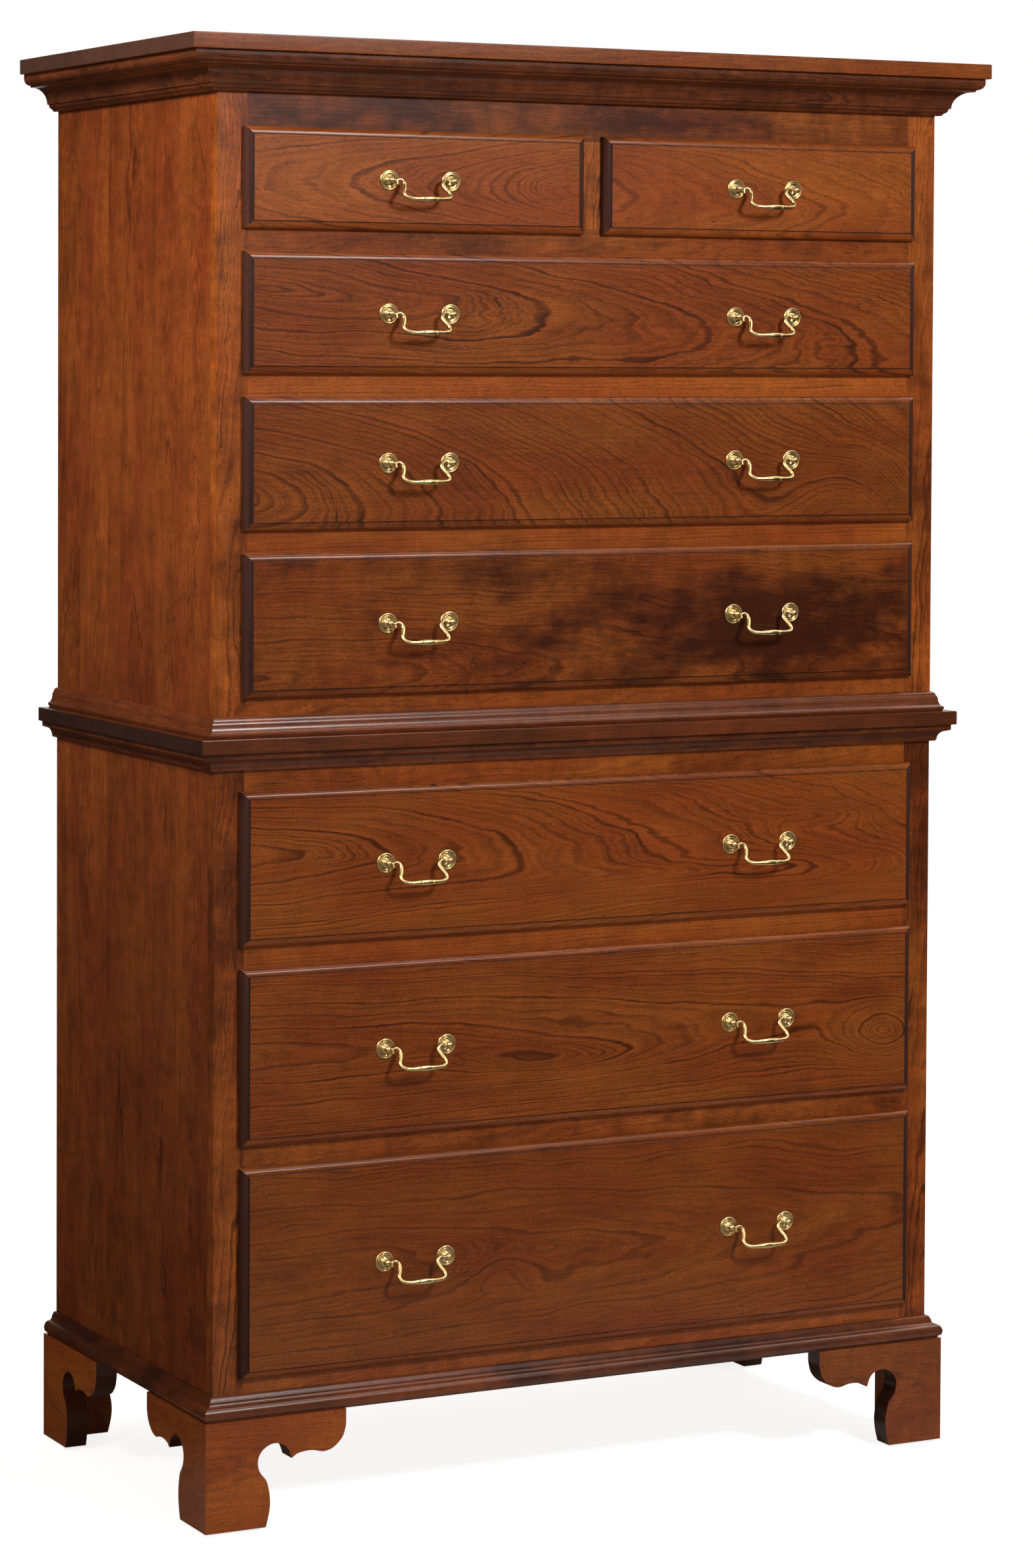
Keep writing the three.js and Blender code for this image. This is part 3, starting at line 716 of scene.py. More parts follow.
@dataclass(frozen=True)
class Case:
    """One case of the chest: face frame, sides, back and the frames that its drawers run on."""

    name: str
    half: float
    front: float
    base: float
    stile: float
    bottom_rail: float
    top_rail: float
    # Drawer openings upwards, and whether the topmost is split in two
    openings: tuple[float, ...]
    paired: bool
    stile_figures: tuple[Figure, Figure]
    side_figure: Figure
    rail_figures: tuple[Figure, ...]
    seed: int
    back: float = 516.0
    rail: float = 39.2
    centre_stile: float = 39.2
    stock: float = 19.2
    ease: float = 0.25

    @property
    def top(self) -> float:
        """Top of the case."""
        height = self.bottom_rail + sum(self.openings) + self.rail * (len(self.openings) - 1) + self.top_rail
        return self.base + height

    def rows(self) -> list[Pair]:
        """Floor and ceiling of each row of drawers, upwards.

        Returns:
            One pair for each row.
        """
        found = []
        floor = self.base + self.bottom_rail
        for opening in self.openings:
            found.append((floor, floor + opening))
            floor += opening + self.rail
        return found

    def spans(self, index: int) -> list[Pair]:
        """Left and right end of each opening in a row.

        Args:
            index: Number of the row, upwards from 0.

        Returns:
            One pair for each opening.
        """
        reach = self.half - self.stile
        if self.paired and index == len(self.openings) - 1:
            return [(-reach, -self.centre_stile / 2), (self.centre_stile / 2, reach)]
        return [(-reach, reach)]

    def build(self) -> None:
        """Build and dress the whole case."""
        self._face_frame()
        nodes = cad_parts
        for side in ("left", "right"):
            board = nodes[f"{self.name}_{side}_side"]
            CHERRY_SIDE.dress(board, Cut.SIDE_PANEL, self.side_figure, self.seed + len(side))
        ply = Figure(pith=(0, 120, 300), ring=7.0, sway=40.0)
        CHERRY_PLY.dress(nodes[f"{self.name}_back"], Cut.FRONT_STILE, ply, self.seed)
        for index in range(len(self.openings)):
            web = nodes[f"{self.name}_web_frame_{index + 1}"]
            POPLAR.dress(web, Cut.FLAT, Figure(lines=0.4, clouds=0.2), self.seed + index)

    def _face_frame(self) -> None:
        """Build the stiles and rails as boards of their own, butted as the joints show."""
        inner, middle = self.half - self.stile, self.centre_stile / 2
        left, right = self.stile_figures
        full = (self.base, self.top)
        boards: list[tuple[str, Pair, Pair, Cut, Figure]] = [
            ("left_stile", (-self.half, -inner), full, Cut.FRONT_STILE, left),
            ("right_stile", (inner, self.half), full, Cut.FRONT_STILE, right),
        ]
        edges = [self.base, *(edge for row in self.rows() for edge in row), self.top]
        for index, figure in enumerate(self.rail_figures):
            span = (edges[2 * index], edges[2 * index + 1])
            boards.append((f"rail_{index + 1}", (-inner, inner), span, Cut.FRONT_RAIL, figure))
        if self.paired:
            boards.append(("centre_stile", (-middle, middle), self.rows()[-1], Cut.FRONT_STILE, left))
        for index, (label, wide, tall, cut, figure) in enumerate(boards):
            high = (wide[1], self.front + self.stock, tall[1])
            form = eased_board((wide[0], self.front, tall[0]), high, self.ease)
            piece = add_piece(f"{self.name}_{label}", form, "chest", [f"{self.name}_face_frame"])
            CHERRY.dress(piece, cut, figure, self.seed + 10 * (index + 1))


@dataclass(frozen=True)
class Moulding:
    """Moulding in three lengths, mitred round the front and both sides of a case."""

    name: str
    profile: tuple[Pair, ...]
    figure: Figure
    seed: int

    def build(self, case: Case, bottom: float) -> None:
        """Build the three lengths on a case.

        Args:
            case: Case that carries the moulding.
            bottom: Height of its lower edge in mm.
        """
        outline = softened(self.profile)
        # Side of the case, depth, and whether the length is mitred there
        corners = ((-1, case.back, 0), (-1, case.front, 1), (1, case.front, 1), (1, case.back, 0))
        for index, label in enumerate(("left", "front", "right")):
            rings = [
                [(side * (case.half + reach), y - mitred * reach, bottom + rise) for reach, rise in outline]
                for side, y, mitred in corners[index:index + 2]
            ]
            piece = add_piece(f"{self.name}_{label}", loft(rings), "chest", [self.name], sharp=28.0)
            cut = Cut.FRONT_RAIL if label == "front" else Cut.SIDE_RAIL
            CHERRY_MOULDED.dress(piece, cut, self.figure, self.seed + index)


@dataclass(frozen=True)
class CoverBoard:
    """Flat board over a case, with eased edges and end grain at its sides."""

    name: str
    overhang: float
    stock: float
    finish: SawnWood
    slot: Slot
    figure: Figure
    seed: int
    ease: float = 1.2

    def build(self, case: Case) -> None:
        """Build the board on top of a case.

        Args:
            case: Case that the board covers.
        """
        half = case.half + self.overhang
        low = (-half, case.front - self.overhang, case.top)
        form = eased_board(low, (half, case.back, case.top + self.stock), self.ease)
        piece = add_piece(f"{self.name}_panel", form, "chest", [self.name])
        self.finish.dress(piece, Cut.FLAT, self.figure, self.seed)


@dataclass(frozen=True)
class BracketFoot:
    """Ogee bracket foot of two mitred brackets with a glue block, on a nylon glide."""

    height: float = 131.9
    glide_height: float = 4.0
    overhang: float = 15.7
    back_overhang: float = 5.0
    stock: float = 28.0
    length: float = 184.0
    leg: float = 78.3
    block: float = 34.0
    block_gap: float = 10.0
    block_ease: float = 1.0
    glide_radius: float = 9.0
    glide_inset: float = 25.0
    ease: float = 0.7
    figure: Figure = Figure(pith=(60, 10, 60), lean=(0.0, 0.06), lines=0.4, clouds=0.3, curl=0.2)
    seed: int = 705
    # Painted light and shade: depth of colour at the front left, front right, back right and back left corner, each
    # foot lightened or darkened as light falls on it
    painted_light_tones: tuple[float, float, float, float] = (1.45, 0.88, 1.0, 1.75)
    # Sawn edge as shares of the length and height, up the leg and then under the wing
    leg_shares: tuple[Pair, ...] = (
        (0.449, 0.136), (0.454, 0.265), (0.431, 0.417), (0.385, 0.504), (0.368, 0.588), (0.38, 0.667),
        (0.421, 0.728), (0.478, 0.758), (0.538, 0.745), (0.583, 0.694), (0.609, 0.603),
    )
    wing_shares: tuple[Pair, ...] = (
        (0.644, 0.637), (0.704, 0.654), (0.766, 0.652), (0.832, 0.631), (0.894, 0.648), (0.943, 0.696),
        (0.981, 0.766), (1.0, 0.872),
    )

    def bracket(self) -> Form:
        """Saw one bracket along +x, with its outer face at y = 0 and a mitre at its corner.

        Returns:
            The bracket.
        """
        leg, wing = (
            [(along * self.length, self.glide_height + up * self.height) for along, up in shares]
            for shares in (self.leg_shares, self.wing_shares)
        )
        leg.insert(0, (self.leg, self.glide_height))
        curve = spline(leg) + spline([leg[-1], *wing])[1:]
        top = self.glide_height + self.height
        outline = [(0.0, self.glide_height), *curve, (self.length, top), (0.0, top)]
        form = loft([[(max(along, depth), depth, up) for along, up in outline] for depth in (0.0, self.stock)])
        front = [edge for edge in form.edges if all(vert.co.y == 0.0 and vert.co.x > 0.0 for vert in edge.verts)]
        bmesh.ops.bevel(
            form, geom=front, offset=self.ease, segments=2, profile=0.5, affect="EDGES", clamp_overlap=True
        )
        return form

    def build(self, case: Case, nylon: Material) -> None:
        """Build the four feet under a case.

        Args:
            case: Case that stands on them.
            nylon: Material of the glides.
        """
        half, front, back = case.half + self.overhang, case.front - self.overhang, case.back + self.back_overhang
        corners = (
            ("front_left", -half, front), ("front_right", half, front), ("back_right", half, back),
            ("back_left", -half, back),
        )
        swap = Matrix(((0, 1, 0, 0), (1, 0, 0, 0), (0, 0, 1, 0), (0, 0, 0, 1)))
        for turns, (place, x, y) in enumerate(corners):
            turn = Matrix.Translation((x, y, 0.0)) @ Matrix.Rotation(turns * math.pi / 2, 4, "Z")
            for count, flip in enumerate((Matrix(), swap)):
                form = self.bracket()
                form.transform(turn @ flip)
                side, cut = "side", Cut.SIDE_RAIL
                if turns % 2 == count:
                    side, cut = "front" if turns < 2 else "back", Cut.FRONT_RAIL
                piece = add_piece(
                    f"{place}_{side}_bracket", form, "chest", [f"{place}_foot"], sharp=24.0
                )
                # Each corner's foot gets its own painted light and shade
                figure = replace(self.figure, tone=self.painted_light_tones[turns])
                CHERRY.dress(piece, cut, figure, self.seed + 10 * turns + count)
            self._block(place, turn)
            self._glide(place, turn, nylon)

    def _block(self, place: str, turn: Matrix) -> None:
        """Glue a block into the corner behind the brackets.

        Args:
            place: Corner of the case.
            turn: Turn of its foot.
        """
        low = (self.stock, self.stock, self.glide_height + self.block_gap)
        end = self.stock + self.block
        form = eased_board(low, (end, end, self.glide_height + self.height), self.block_ease)
        form.transform(turn)
        piece = add_piece(f"{place}_glue_block", form, "chest", [f"{place}_foot"])
        CHERRY.dress(piece, Cut.FRONT_STILE, Figure(lines=0.3, tone=0.8), len(place))

    def _glide(self, place: str, turn: Matrix, nylon: Material) -> None:
        """Turn the glide under the corner.

        Args:
            place: Corner of the case.
            turn: Turn of its foot.
            nylon: Material of the glide.
        """
        radius, height = self.glide_radius, self.glide_height
        # Rounded where it meets the floor, and barely broken under the foot
        profile = [
            (0.0, 0.0), (radius - 1.6, 0.0), (radius - 0.7, 0.3), (radius - 0.2, 0.9), (radius, 1.6),
            (radius, height - 0.2), (radius - 0.2, height), (0.0, height),
        ]
        form = turned(profile, (0.0, 0.0, 0.0))
        form.transform(turn @ Matrix.Translation((self.glide_inset, self.glide_inset, 0.0)) @ STAND_UP)
        piece = add_piece(f"{place}_nylon_glide", form, "chest", [f"{place}_glide"])
        piece.data.materials.append(nylon)


@dataclass(frozen=True)
class Handle:
    """Two ball-ended posts on dished rosettes, with a swan-neck bail that swings between them."""

    spacing: float = 82.6
    stand_off: float = 8.7
    ball: float = 4.0
    neck: float = 2.6
    # Radius and height of the rosette and the foot of the post, from the axis outwards and back
    rosette: tuple[Pair, ...] = (
        (0.0, -0.5), (12.5, -0.5), (12.5, 0.5), (12.35, 1.1), (12.0, 1.6), (11.5, 1.92), (11.0, 2.0),
        (10.55, 1.88), (10.2, 1.55), (10.05, 1.2), (9.8, 1.0), (9.5, 1.05), (9.25, 1.35), (8.9, 1.6),
        (8.4, 1.65), (8.0, 1.45), (7.6, 1.1), (7.0, 0.85), (6.3, 0.8), (5.9, 0.95), (5.6, 1.3), (5.45, 1.8),
        (5.1, 2.3), (4.5, 2.65), (3.8, 3.0), (3.2, 3.6), (2.8, 4.3), (2.6, 4.9),
    )
    ball_steps: int = 12
    # Centre line of the bail as in the solid: out, up and forward of the pivot as shares, and the radius
    half_width: float = 30.7
    drop: float = 22.7
    forward: float = 18.6
    bend: tuple[tuple[float, float, float, float], ...] = (
        (1.124, -0.275, 0.055, 0.5), (1.127, -0.262, 0.05, 1.25), (1.133, -0.225, 0.04, 1.75),
        (1.142, -0.1, 0.01, 1.65), (1.09, 0.015, 0.0, 1.6), (0.99, 0.04, 0.0, 1.8), (0.875, -0.06, 0.02, 2.3),
        (0.833, -0.24, 0.11, 2.75), (0.9, -0.48, 0.35, 2.75), (0.995, -0.7, 0.59, 2.5), (0.955, -0.88, 0.8, 2.4),
        (0.77, -0.98, 0.95, 2.4),
    )
    # Half of the grip, as place along it and radius
    grip: tuple[Pair, ...] = (
        (17.0, 2.45), (13.0, 2.75), (10.6, 3.15), (10.1, 3.05), (9.7, 3.5), (9.0, 3.65), (8.4, 3.45), (8.0, 3.1),
        (6.8, 3.35), (3.5, 3.75), (0.0, 3.85),
    )
    # Radius of the pins and how far they reach into the balls, and the share of the width where they start
    pin: float = 1.2
    pin_reach: float = 3.8
    pin_start: float = 1.09
    sides: int = 20

    def posts(self, centre: Point) -> Form:
        """Turn both posts of a handle.

        Args:
            centre: Middle of the handle on the drawer front.

        Returns:
            The posts.
        """
        start = math.asin(self.neck / self.ball)
        arc = []
        for step in range(1, self.ball_steps + 1):
            angle = start + (math.pi - start) * step / self.ball_steps
            radius = self.ball * math.sin(angle) if step < self.ball_steps else 0.0
            arc.append((radius, self.stand_off - self.ball * math.cos(angle)))
        x, y, z = centre
        return joined(turned([*self.rosette, *arc], (x + side * self.spacing / 2, y, z)) for side in (-1, 1))

    def bail(self, pivot: Point) -> Form:
        """Bend a bail with its pins.

        Args:
            pivot: Middle of the axis that it swings on.

        Returns:
            The bail.
        """
        half = spline([
            (out * self.half_width, -ahead * self.forward, up * self.drop, radius)
            for out, up, ahead, radius in self.bend
        ])
        half += [(place, -self.forward, -self.drop, radius) for place, radius in self.grip]
        whole = half + [(-x, y, z, radius) for x, y, z, radius in reversed(half[:-1])]
        across = Vector((0.0, -self.drop, self.forward)).normalized()
        rings = []
        for index, (x, y, z, radius) in enumerate(whole):
            before = Vector(whole[max(index - 1, 0)][:3])
            after = Vector(whole[min(index + 1, len(whole) - 1)][:3])
            along = (after - before).normalized()
            in_plane = along.cross(across).normalized()
            rings.append(self._hoop(Vector(pivot) + Vector((x, y, z)), in_plane, in_plane.cross(along), radius))
        reach = (self.pin_start * self.half_width, self.spacing / 2 - self.ball + self.pin_reach)
        upright = (Vector((0.0, 1.0, 0.0)), Vector((0.0, 0.0, 1.0)))
        pins = [
            loft([self._hoop(Vector(pivot) + Vector((side * x, 0.0, 0.0)), *upright, self.pin) for x in reach])
            for side in (-1, 1)
        ]
        return joined([loft(rings), *pins])

    def _hoop(self, centre: Vector, one: Vector, other: Vector, radius: float) -> list[Point]:
        """Ring of points round the wire.

        Args:
            centre: Middle of the wire.
            one: First direction across it.
            other: Second direction across it, square to the first.
            radius: Radius of the wire there.

        Returns:
            The points.
        """
        angles = (2 * math.pi * side / self.sides for side in range(self.sides))
        return [tuple(centre + radius * (math.cos(angle) * one + math.sin(angle) * other)) for angle in angles]


@dataclass(frozen=True)
class Drawer:
    """One drawer: front with its thumbnail moulding, box of separate boards, and handles."""

    name: str
    figure: Figure
    seed: int
    # Label and place along the front of each handle
    handles: tuple[tuple[str, float], ...]
    lip: float = 6.3
    proud: float = 12.7
    stock: float = 19.0
    edge: float = 4.0
    thumbnail: Pair = (8.4, 7.2)
    fillet: float = 0.6
    bevel: float = 0.8
    clearance: float = 1.5
    side: float = 12.7
    bottom: float = 6.4
    groove: float = 12.7
    top_clearance: float = 9.0
    back_gap: float = 16.0
    back_panel: float = 6.0
    runner_clearance: float = 0.4
    box_ease: float = 0.8
    bottom_ease: float = 0.1

    def build(self, case: Case, row: Pair, span: Pair, brass: Material) -> None:
        """Build the drawer in its closed place.

        Args:
            case: Case that holds the drawer.
            row: Floor and ceiling of its opening in mm.
            span: Left and right end of its opening in mm.
            brass: Material of the handles.
        """
        centre = ((span[0] + span[1]) / 2, case.front, (row[0] + row[1]) / 2)
        width, height = span[1] - span[0], row[1] - row[0]
        solid = f"{self.name}_front"
        form = self._front(centre, width, height)
        board = add_piece(f"{solid}_board", form, self.name, [solid], sharp=30.0)
        lap = self.lip - self.thumbnail[0] - self.fillet
        figure = replace(self.figure, field_half=(width / 2 + lap, height / 2 + lap))
        CHERRY.dress(board, Cut.FRONT_RAIL, figure, self.seed)
        self._box(case, centre, width, height)
        handle = Handle()
        for label, place in self.handles:
            name = f"{self.name}_{label}"
            middle = (centre[0] + place, case.front - self.proud, centre[2])
            pivot = (middle[0], middle[1] - handle.stand_off, middle[2])
            for part, form, body, stands_for in (
                ("posts", handle.posts(middle), self.name, solid), ("rod", handle.bail(pivot), name, name),
            ):
                piece = add_piece(f"{name}_{part}", form, body, [stands_for], sharp=40.0)
                piece.data.materials.append(brass)

    def _front(self, centre: Point, width: float, height: float) -> Form:
        """Shape the front board, whose lip laps over the face frame.

        Args:
            centre: Middle of the opening in the plane of the face frame.
            width: Width of the opening.
            height: Height of the opening.

        Returns:
            The board, with glazing and painted shade in its corners.
        """
        tongue = self.lip + self.clearance
        depth = self.edge + self.thumbnail[1]
        inner = self.thumbnail[0] + self.fillet
        curve = quarter((0.0, self.edge), (self.thumbnail[0], depth), True, steps=12)
        # Inset from the lip, depth from the face frame, and painted shade with glazing at each step round the board,
        # from the back
        steps = [
            (tongue, self.stock - self.proud, 0.0), (tongue, 0.0, 0.4), (0.4, 0.0, 0.5), (0.12, -0.12, 0.2),
            (0.0, -0.4, 0.0), (0.0, -self.edge + 0.3, 0.0), *((inset, -proud, 0.0) for inset, proud in curve[:-1]),
            (self.thumbnail[0], -depth, 0.4), (inner, -depth, 0.75), (inner + self.bevel * 0.5, -self.proud + 0.5, 0.6),
            (inner + self.bevel, -self.proud + 0.06, 0.4), (inner + self.bevel + 0.4, -self.proud, 0.0),
        ]
        rings = []
        for inset, y, _ in steps:
            x, z = width / 2 + self.lip - inset, height / 2 + self.lip - inset
            corners = ((-x, -z), (x, -z), (x, z), (-x, z))
            rings.append([(centre[0] + dx, centre[1] + y, centre[2] + dz) for dx, dz in corners])
        form = loft(rings)
        shade_and_glaze = form.verts.layers.float.new(SHADE_AND_GLAZE)
        form.verts.ensure_lookup_table()
        for index, vert in enumerate(form.verts):
            vert[shade_and_glaze] = steps[index // 4][2]
        return form

    def _box(self, case: Case, centre: Point, width: float, height: float) -> None:
        """Build the sides, back and bottom of the drawer box behind its front.

        Args:
            case: Case that holds the drawer.
            centre: Middle of the opening in the plane of the face frame.
            width: Width of the opening.
            height: Height of the opening.
        """
        half = width / 2 - self.clearance
        start = centre[1] + self.stock - self.proud
        end = centre[1] + case.back - case.front - self.back_panel - self.back_gap
        floor = centre[2] + self.runner_clearance - height / 2
        top = centre[2] + height / 2 - self.top_clearance
        inner, behind, panel = half - self.side, end - self.side, floor + self.groove
        x = centre[0]
        boards = (
            ("left_side", (x - half, start, floor), (x - inner, end, top), Cut.SIDE_RAIL, self.box_ease),
            ("right_side", (x + inner, start, floor), (x + half, end, top), Cut.SIDE_RAIL, self.box_ease),
            ("back_board", (x - inner, behind, floor), (x + inner, end, top), Cut.FRONT_RAIL, self.box_ease),
            ("bottom", (x - inner, start, panel), (x + inner, behind, panel + self.bottom), Cut.FLAT, self.bottom_ease),
        )
        figure = Figure(lines=0.35, clouds=0.15, curl=0.15, ring=4.5)
        for index, (label, low, high, cut, ease) in enumerate(boards):
            form = eased_board(low, high, ease)
            piece = add_piece(f"{self.name}_{label}", form, self.name, [f"{self.name}_box"])
            MAPLE.dress(piece, cut, figure, self.seed + index + 1)


@dataclass(frozen=True)
class Card:
    """White card of the studio that shows in polished faces."""

    towards: Point
    # Cosine of the angle from its middle at which it ends, and at which it is at full strength
    edge: float
    middle: float
    strength: float


@dataclass(frozen=True)
class Softbox:
    """Soft lamp that faces a point. Lengths in metres, power in watts."""

    name: str
    place: Point
    target: Point
    size: Pair
    power: float
    # Angle in degrees to which its grid narrows the light
    spread: float = 180.0

    def build(self) -> None:
        """Hang the lamp."""
        data = bpy.data.lights.new(self.name, "AREA")
        data.shape = "RECTANGLE"
        data.size, data.size_y = self.size
        data.energy, data.spread = self.power, math.radians(self.spread)
        lamp = bpy.data.objects.new(self.name, data)
        lamp.location = self.place
        lamp.rotation_euler = (Vector(self.target) - Vector(self.place)).to_track_quat("-Z", "Y").to_euler()
        bpy.context.scene.collection.objects.link(lamp)


@dataclass(frozen=True)
class Studio:
    """Pale floor, white background, soft lamps and the camera of the photograph."""

    camera_place: Point = (-2500.7, -4891.4, 1402.3)
    yaw: float = 0.4757467
    pitch: float = -0.0357091
    roll: float = 0.0047399
    # Focal length, middle row and height of the photograph in its pixels
    focal: float = 6501.99
    middle_row: float = 775.41
    rows: float = 2380.0
    sensor: float = 36.0
    # Nearest and farthest that the camera sees, in metres
    clip: Pair = (0.1, 60.0)
    lamps: tuple[Softbox, ...] = (
        Softbox("key_softbox", (0.95, -3.3, 2.9), (0.0, -0.2, 1.1), (0.6, 0.65), 70.0),
        Softbox("side_softbox", (-2.2, -0.5, 2.7), (-0.55, -0.15, 1.5), (0.8, 0.8), 4.4, 42.0),
    )
    # Light from all round and its colour, and what mirrored rays see of it beside the cards
    fill: float = 0.19
    fill_colour: str = "#fffaf4"
    dark_room: float = 0.012
    # Polished brass and the moulded edges mirror white cards, hung so that flat wood mirrors the dark room
    cards: tuple[Card, ...] = (
        Card((-0.55, -0.35, 0.75), 0.72, 0.9, 1.6),
        Card((-0.42, -0.88, 0.2), 0.86, 0.96, 1.1),
        Card((0.46, 0.02, 0.87), 0.86, 0.97, 4.0),
        Card((0.95, -0.15, 0.25), 0.8, 0.93, 1.0),
    )
    # Cosines of the angle from straight behind at which a mirrored white wall ends and is full
    wall: Pair = (0.86, 0.95)
    floor_wall: Pair = (0.96, 0.99)
    floor_reach: float = 40.0
    paper: str = "#eeebe6"
    # Dark that only mirrored rays see on the floor, a painted reflection
    painted_reflection_dark: str = "#4a4743"
    # Paper that polished faces see pale, in metres: along a direction to its left and round a middle near the chest
    left: Point = (0.88, 0.47, 0.0)
    left_range: Pair = (-0.75, -1.1)
    near: Point = (0.1, -0.45, 0.0)
    near_range: Pair = (1.0, 0.75)
    # White that the floor adds where the eye sees it: its paint and its glow
    paint: float = 0.9
    glow: float = 0.86

    def camera(self) -> None:
        """Place the camera as the photograph shows the chest."""
        data = bpy.data.cameras.new("camera")
        data.sensor_fit = "AUTO"
        data.sensor_width = self.sensor
        data.lens = self.sensor * self.focal / self.rows
        data.shift_y = (self.middle_row - self.rows / 2) / self.rows
        data.clip_start, data.clip_end = self.clip
        level = math.cos(self.pitch)
        forward = Vector((math.sin(self.yaw) * level, math.cos(self.yaw) * level, math.sin(self.pitch)))
        right = forward.cross(Vector((0.0, 0.0, 1.0))).normalized()
        up = right.cross(forward)
        tilt, rise = math.cos(self.roll), math.sin(self.roll)
        axes = Matrix((tilt * right + rise * up, tilt * up - rise * right, -forward)).transposed().to_4x4()
        camera = bpy.data.objects.new("camera", data)
        camera.matrix_world = Matrix.Translation(Vector(self.camera_place) * MM) @ axes
        bpy.context.scene.collection.objects.link(camera)
        bpy.context.scene.camera = camera

    def _white(self, add: AddNode, direction: Wire, wall: Pair) -> Node:
        """Find where the background is plain white: for the eye, and for rays mirrored to the wall behind.

        Args:
            add: Call that adds a node.
            direction: Direction of the background from the middle of the studio.
            wall: Cosines at which the mirrored wall ends and is full.

        Returns:
            Share of white.
        """
        rays = add("LightPath").outputs
        behind = add("VectorMath.DOT_PRODUCT", direction, (math.sin(self.yaw), math.cos(self.yaw), 0.0))
        mirrored = add("Math.MAXIMUM", rays["Is Glossy Ray"], rays["Is Transmission Ray"])
        shown = add("Math.MULTIPLY", mirrored, add("MapRange", behind, *wall))
        return add("Math.MAXIMUM", shown, rays["Is Camera Ray"])

    def world(self) -> None:
        """Hang a white background for the eye, and a dim studio that fills the shadows."""
        world = bpy.data.worlds.new("studio")
        bpy.context.scene.world = world
        add = cleared(world)
        direction = add("TexCoord").outputs["Generated"]
        room: Union[float, Node] = self.dark_room
        for card in self.cards:
            facing = add("VectorMath.DOT_PRODUCT", direction, tuple(Vector(card.towards).normalized()))
            glow = add(
                "MapRange", facing, card.edge, card.middle, 0.0, card.strength, interpolation_type="SMOOTHSTEP"
            )
            room = add("Math.ADD", glow, room)
        dim = add("Background", linear(self.fill_colour), add(
            "Mix", add("LightPath").outputs["Is Glossy Ray"], self.fill, room
        ))
        white = self._white(add, direction, self.wall)
        add("OutputWorld", add("MixShader", white, dim, add("Background", WHITE, 1.0)))

    def floor(self) -> None:
        """Lay a pale floor that is white to the eye and keeps the chest's shadow."""
        mesh = bpy.data.meshes.new("floor")
        corners = [(x * self.floor_reach, y * self.floor_reach, 0.0) for x, y in ((-1, -1), (1, -1), (1, 1), (-1, 1))]
        mesh.from_pydata(corners, [], [(0, 1, 2, 3)])
        floor = bpy.data.objects.new("floor", mesh)
        bpy.context.scene.collection.objects.link(floor)
        material = bpy.data.materials.new("floor_paper")
        add = cleared(material)
        place = add("NewGeometry").outputs["Position"]
        # Painted reflection: mirrored rays alone see this floor as dark, so flat wood mirrors darkness, and as pale
        # paper close to the chest and to its left, where brass mirrors it. All other rays see pale paper.
        left = add("MapRange", add("VectorMath.DOT_PRODUCT", place, self.left), *self.left_range)
        near = add("MapRange", add("VectorMath.DISTANCE", place, self.near), *self.near_range)
        paper = linear(self.paper)
        painted_reflection_dark = add("Mix", add("Math.MAXIMUM", left, near), linear(self.painted_reflection_dark), paper, data_type="RGBA")
        tint = add("Mix", add("LightPath").outputs["Is Glossy Ray"], paper, painted_reflection_dark, data_type="RGBA")
        paint = add("BsdfDiffuse", (self.paint, self.paint, self.paint, 1.0))
        lit = add("AddShader", paint, add("Emission", WHITE, self.glow))
        white = self._white(add, add("VectorMath.NORMALIZE", place), self.floor_wall)
        add("OutputMaterial", add("MixShader", white, add("BsdfDiffuse", tint), lit))
        mesh.materials.append(material)

    def build(self) -> None:
        """Set up the whole studio."""
        self.camera()
        self.world()
        self.floor()
        for lamp in self.lamps:
            lamp.build()
        bpy.context.scene.view_settings.view_transform = "Standard"


CORNICE_HEIGHT = 46.0
CORNICE = Moulding(
    name="cornice_moulding", seed=410,
    figure=Figure(pith=(0, 10, 60), lines=0.75, clouds=0.55, curl=0.5, tone=1.06),
    profile=(
        (0.0, 0.0), (4.4, 0.0), *quarter((4.4, 0.0), (8.2, 3.1), False), *quarter((8.2, 3.1), (12.9, 8.8), False),
        (15.2, 8.8), *quarter((15.2, 8.8), (34.9, 29.8), True), (37.6, 29.8), (38.4, 32.2),
        *quarter((38.4, 32.2), (46.8, 41.0), False), (46.8, CORNICE_HEIGHT), (0.0, CORNICE_HEIGHT),
    ),
)
WAIST = Moulding(
    name="waist_moulding", seed=420, figure=Figure(pith=(0, 0, 70), lines=0.4, clouds=0.4, curl=0.3, tone=1.1),
    profile=(
        (0.0, 0.0), (11.6, 0.0), (13.2, 3.4), (13.2, 5.6), *quarter((13.2, 5.6), (7.4, 16.4), False),
        (6.6, 18.6), (5.2, 20.4), *quarter((5.2, 20.4), (0.0, 24.6), True),
    ),
)
COVE_HEIGHT = 21.7
LEDGE_COVE = Moulding(
    name="ledge_cove_moulding", seed=430,
    figure=Figure(pith=(0, 10, 60), lines=0.6, clouds=0.5, curl=0.4, tone=1.03),
    profile=(
        (0.0, 0.0), (5.6, 0.0), (7.0, 2.4), *quarter((7.0, 2.4), (16.4, 13.2), True), (20.3, 14.8),
        (20.3, COVE_HEIGHT), (0.0, COVE_HEIGHT),
    ),
)
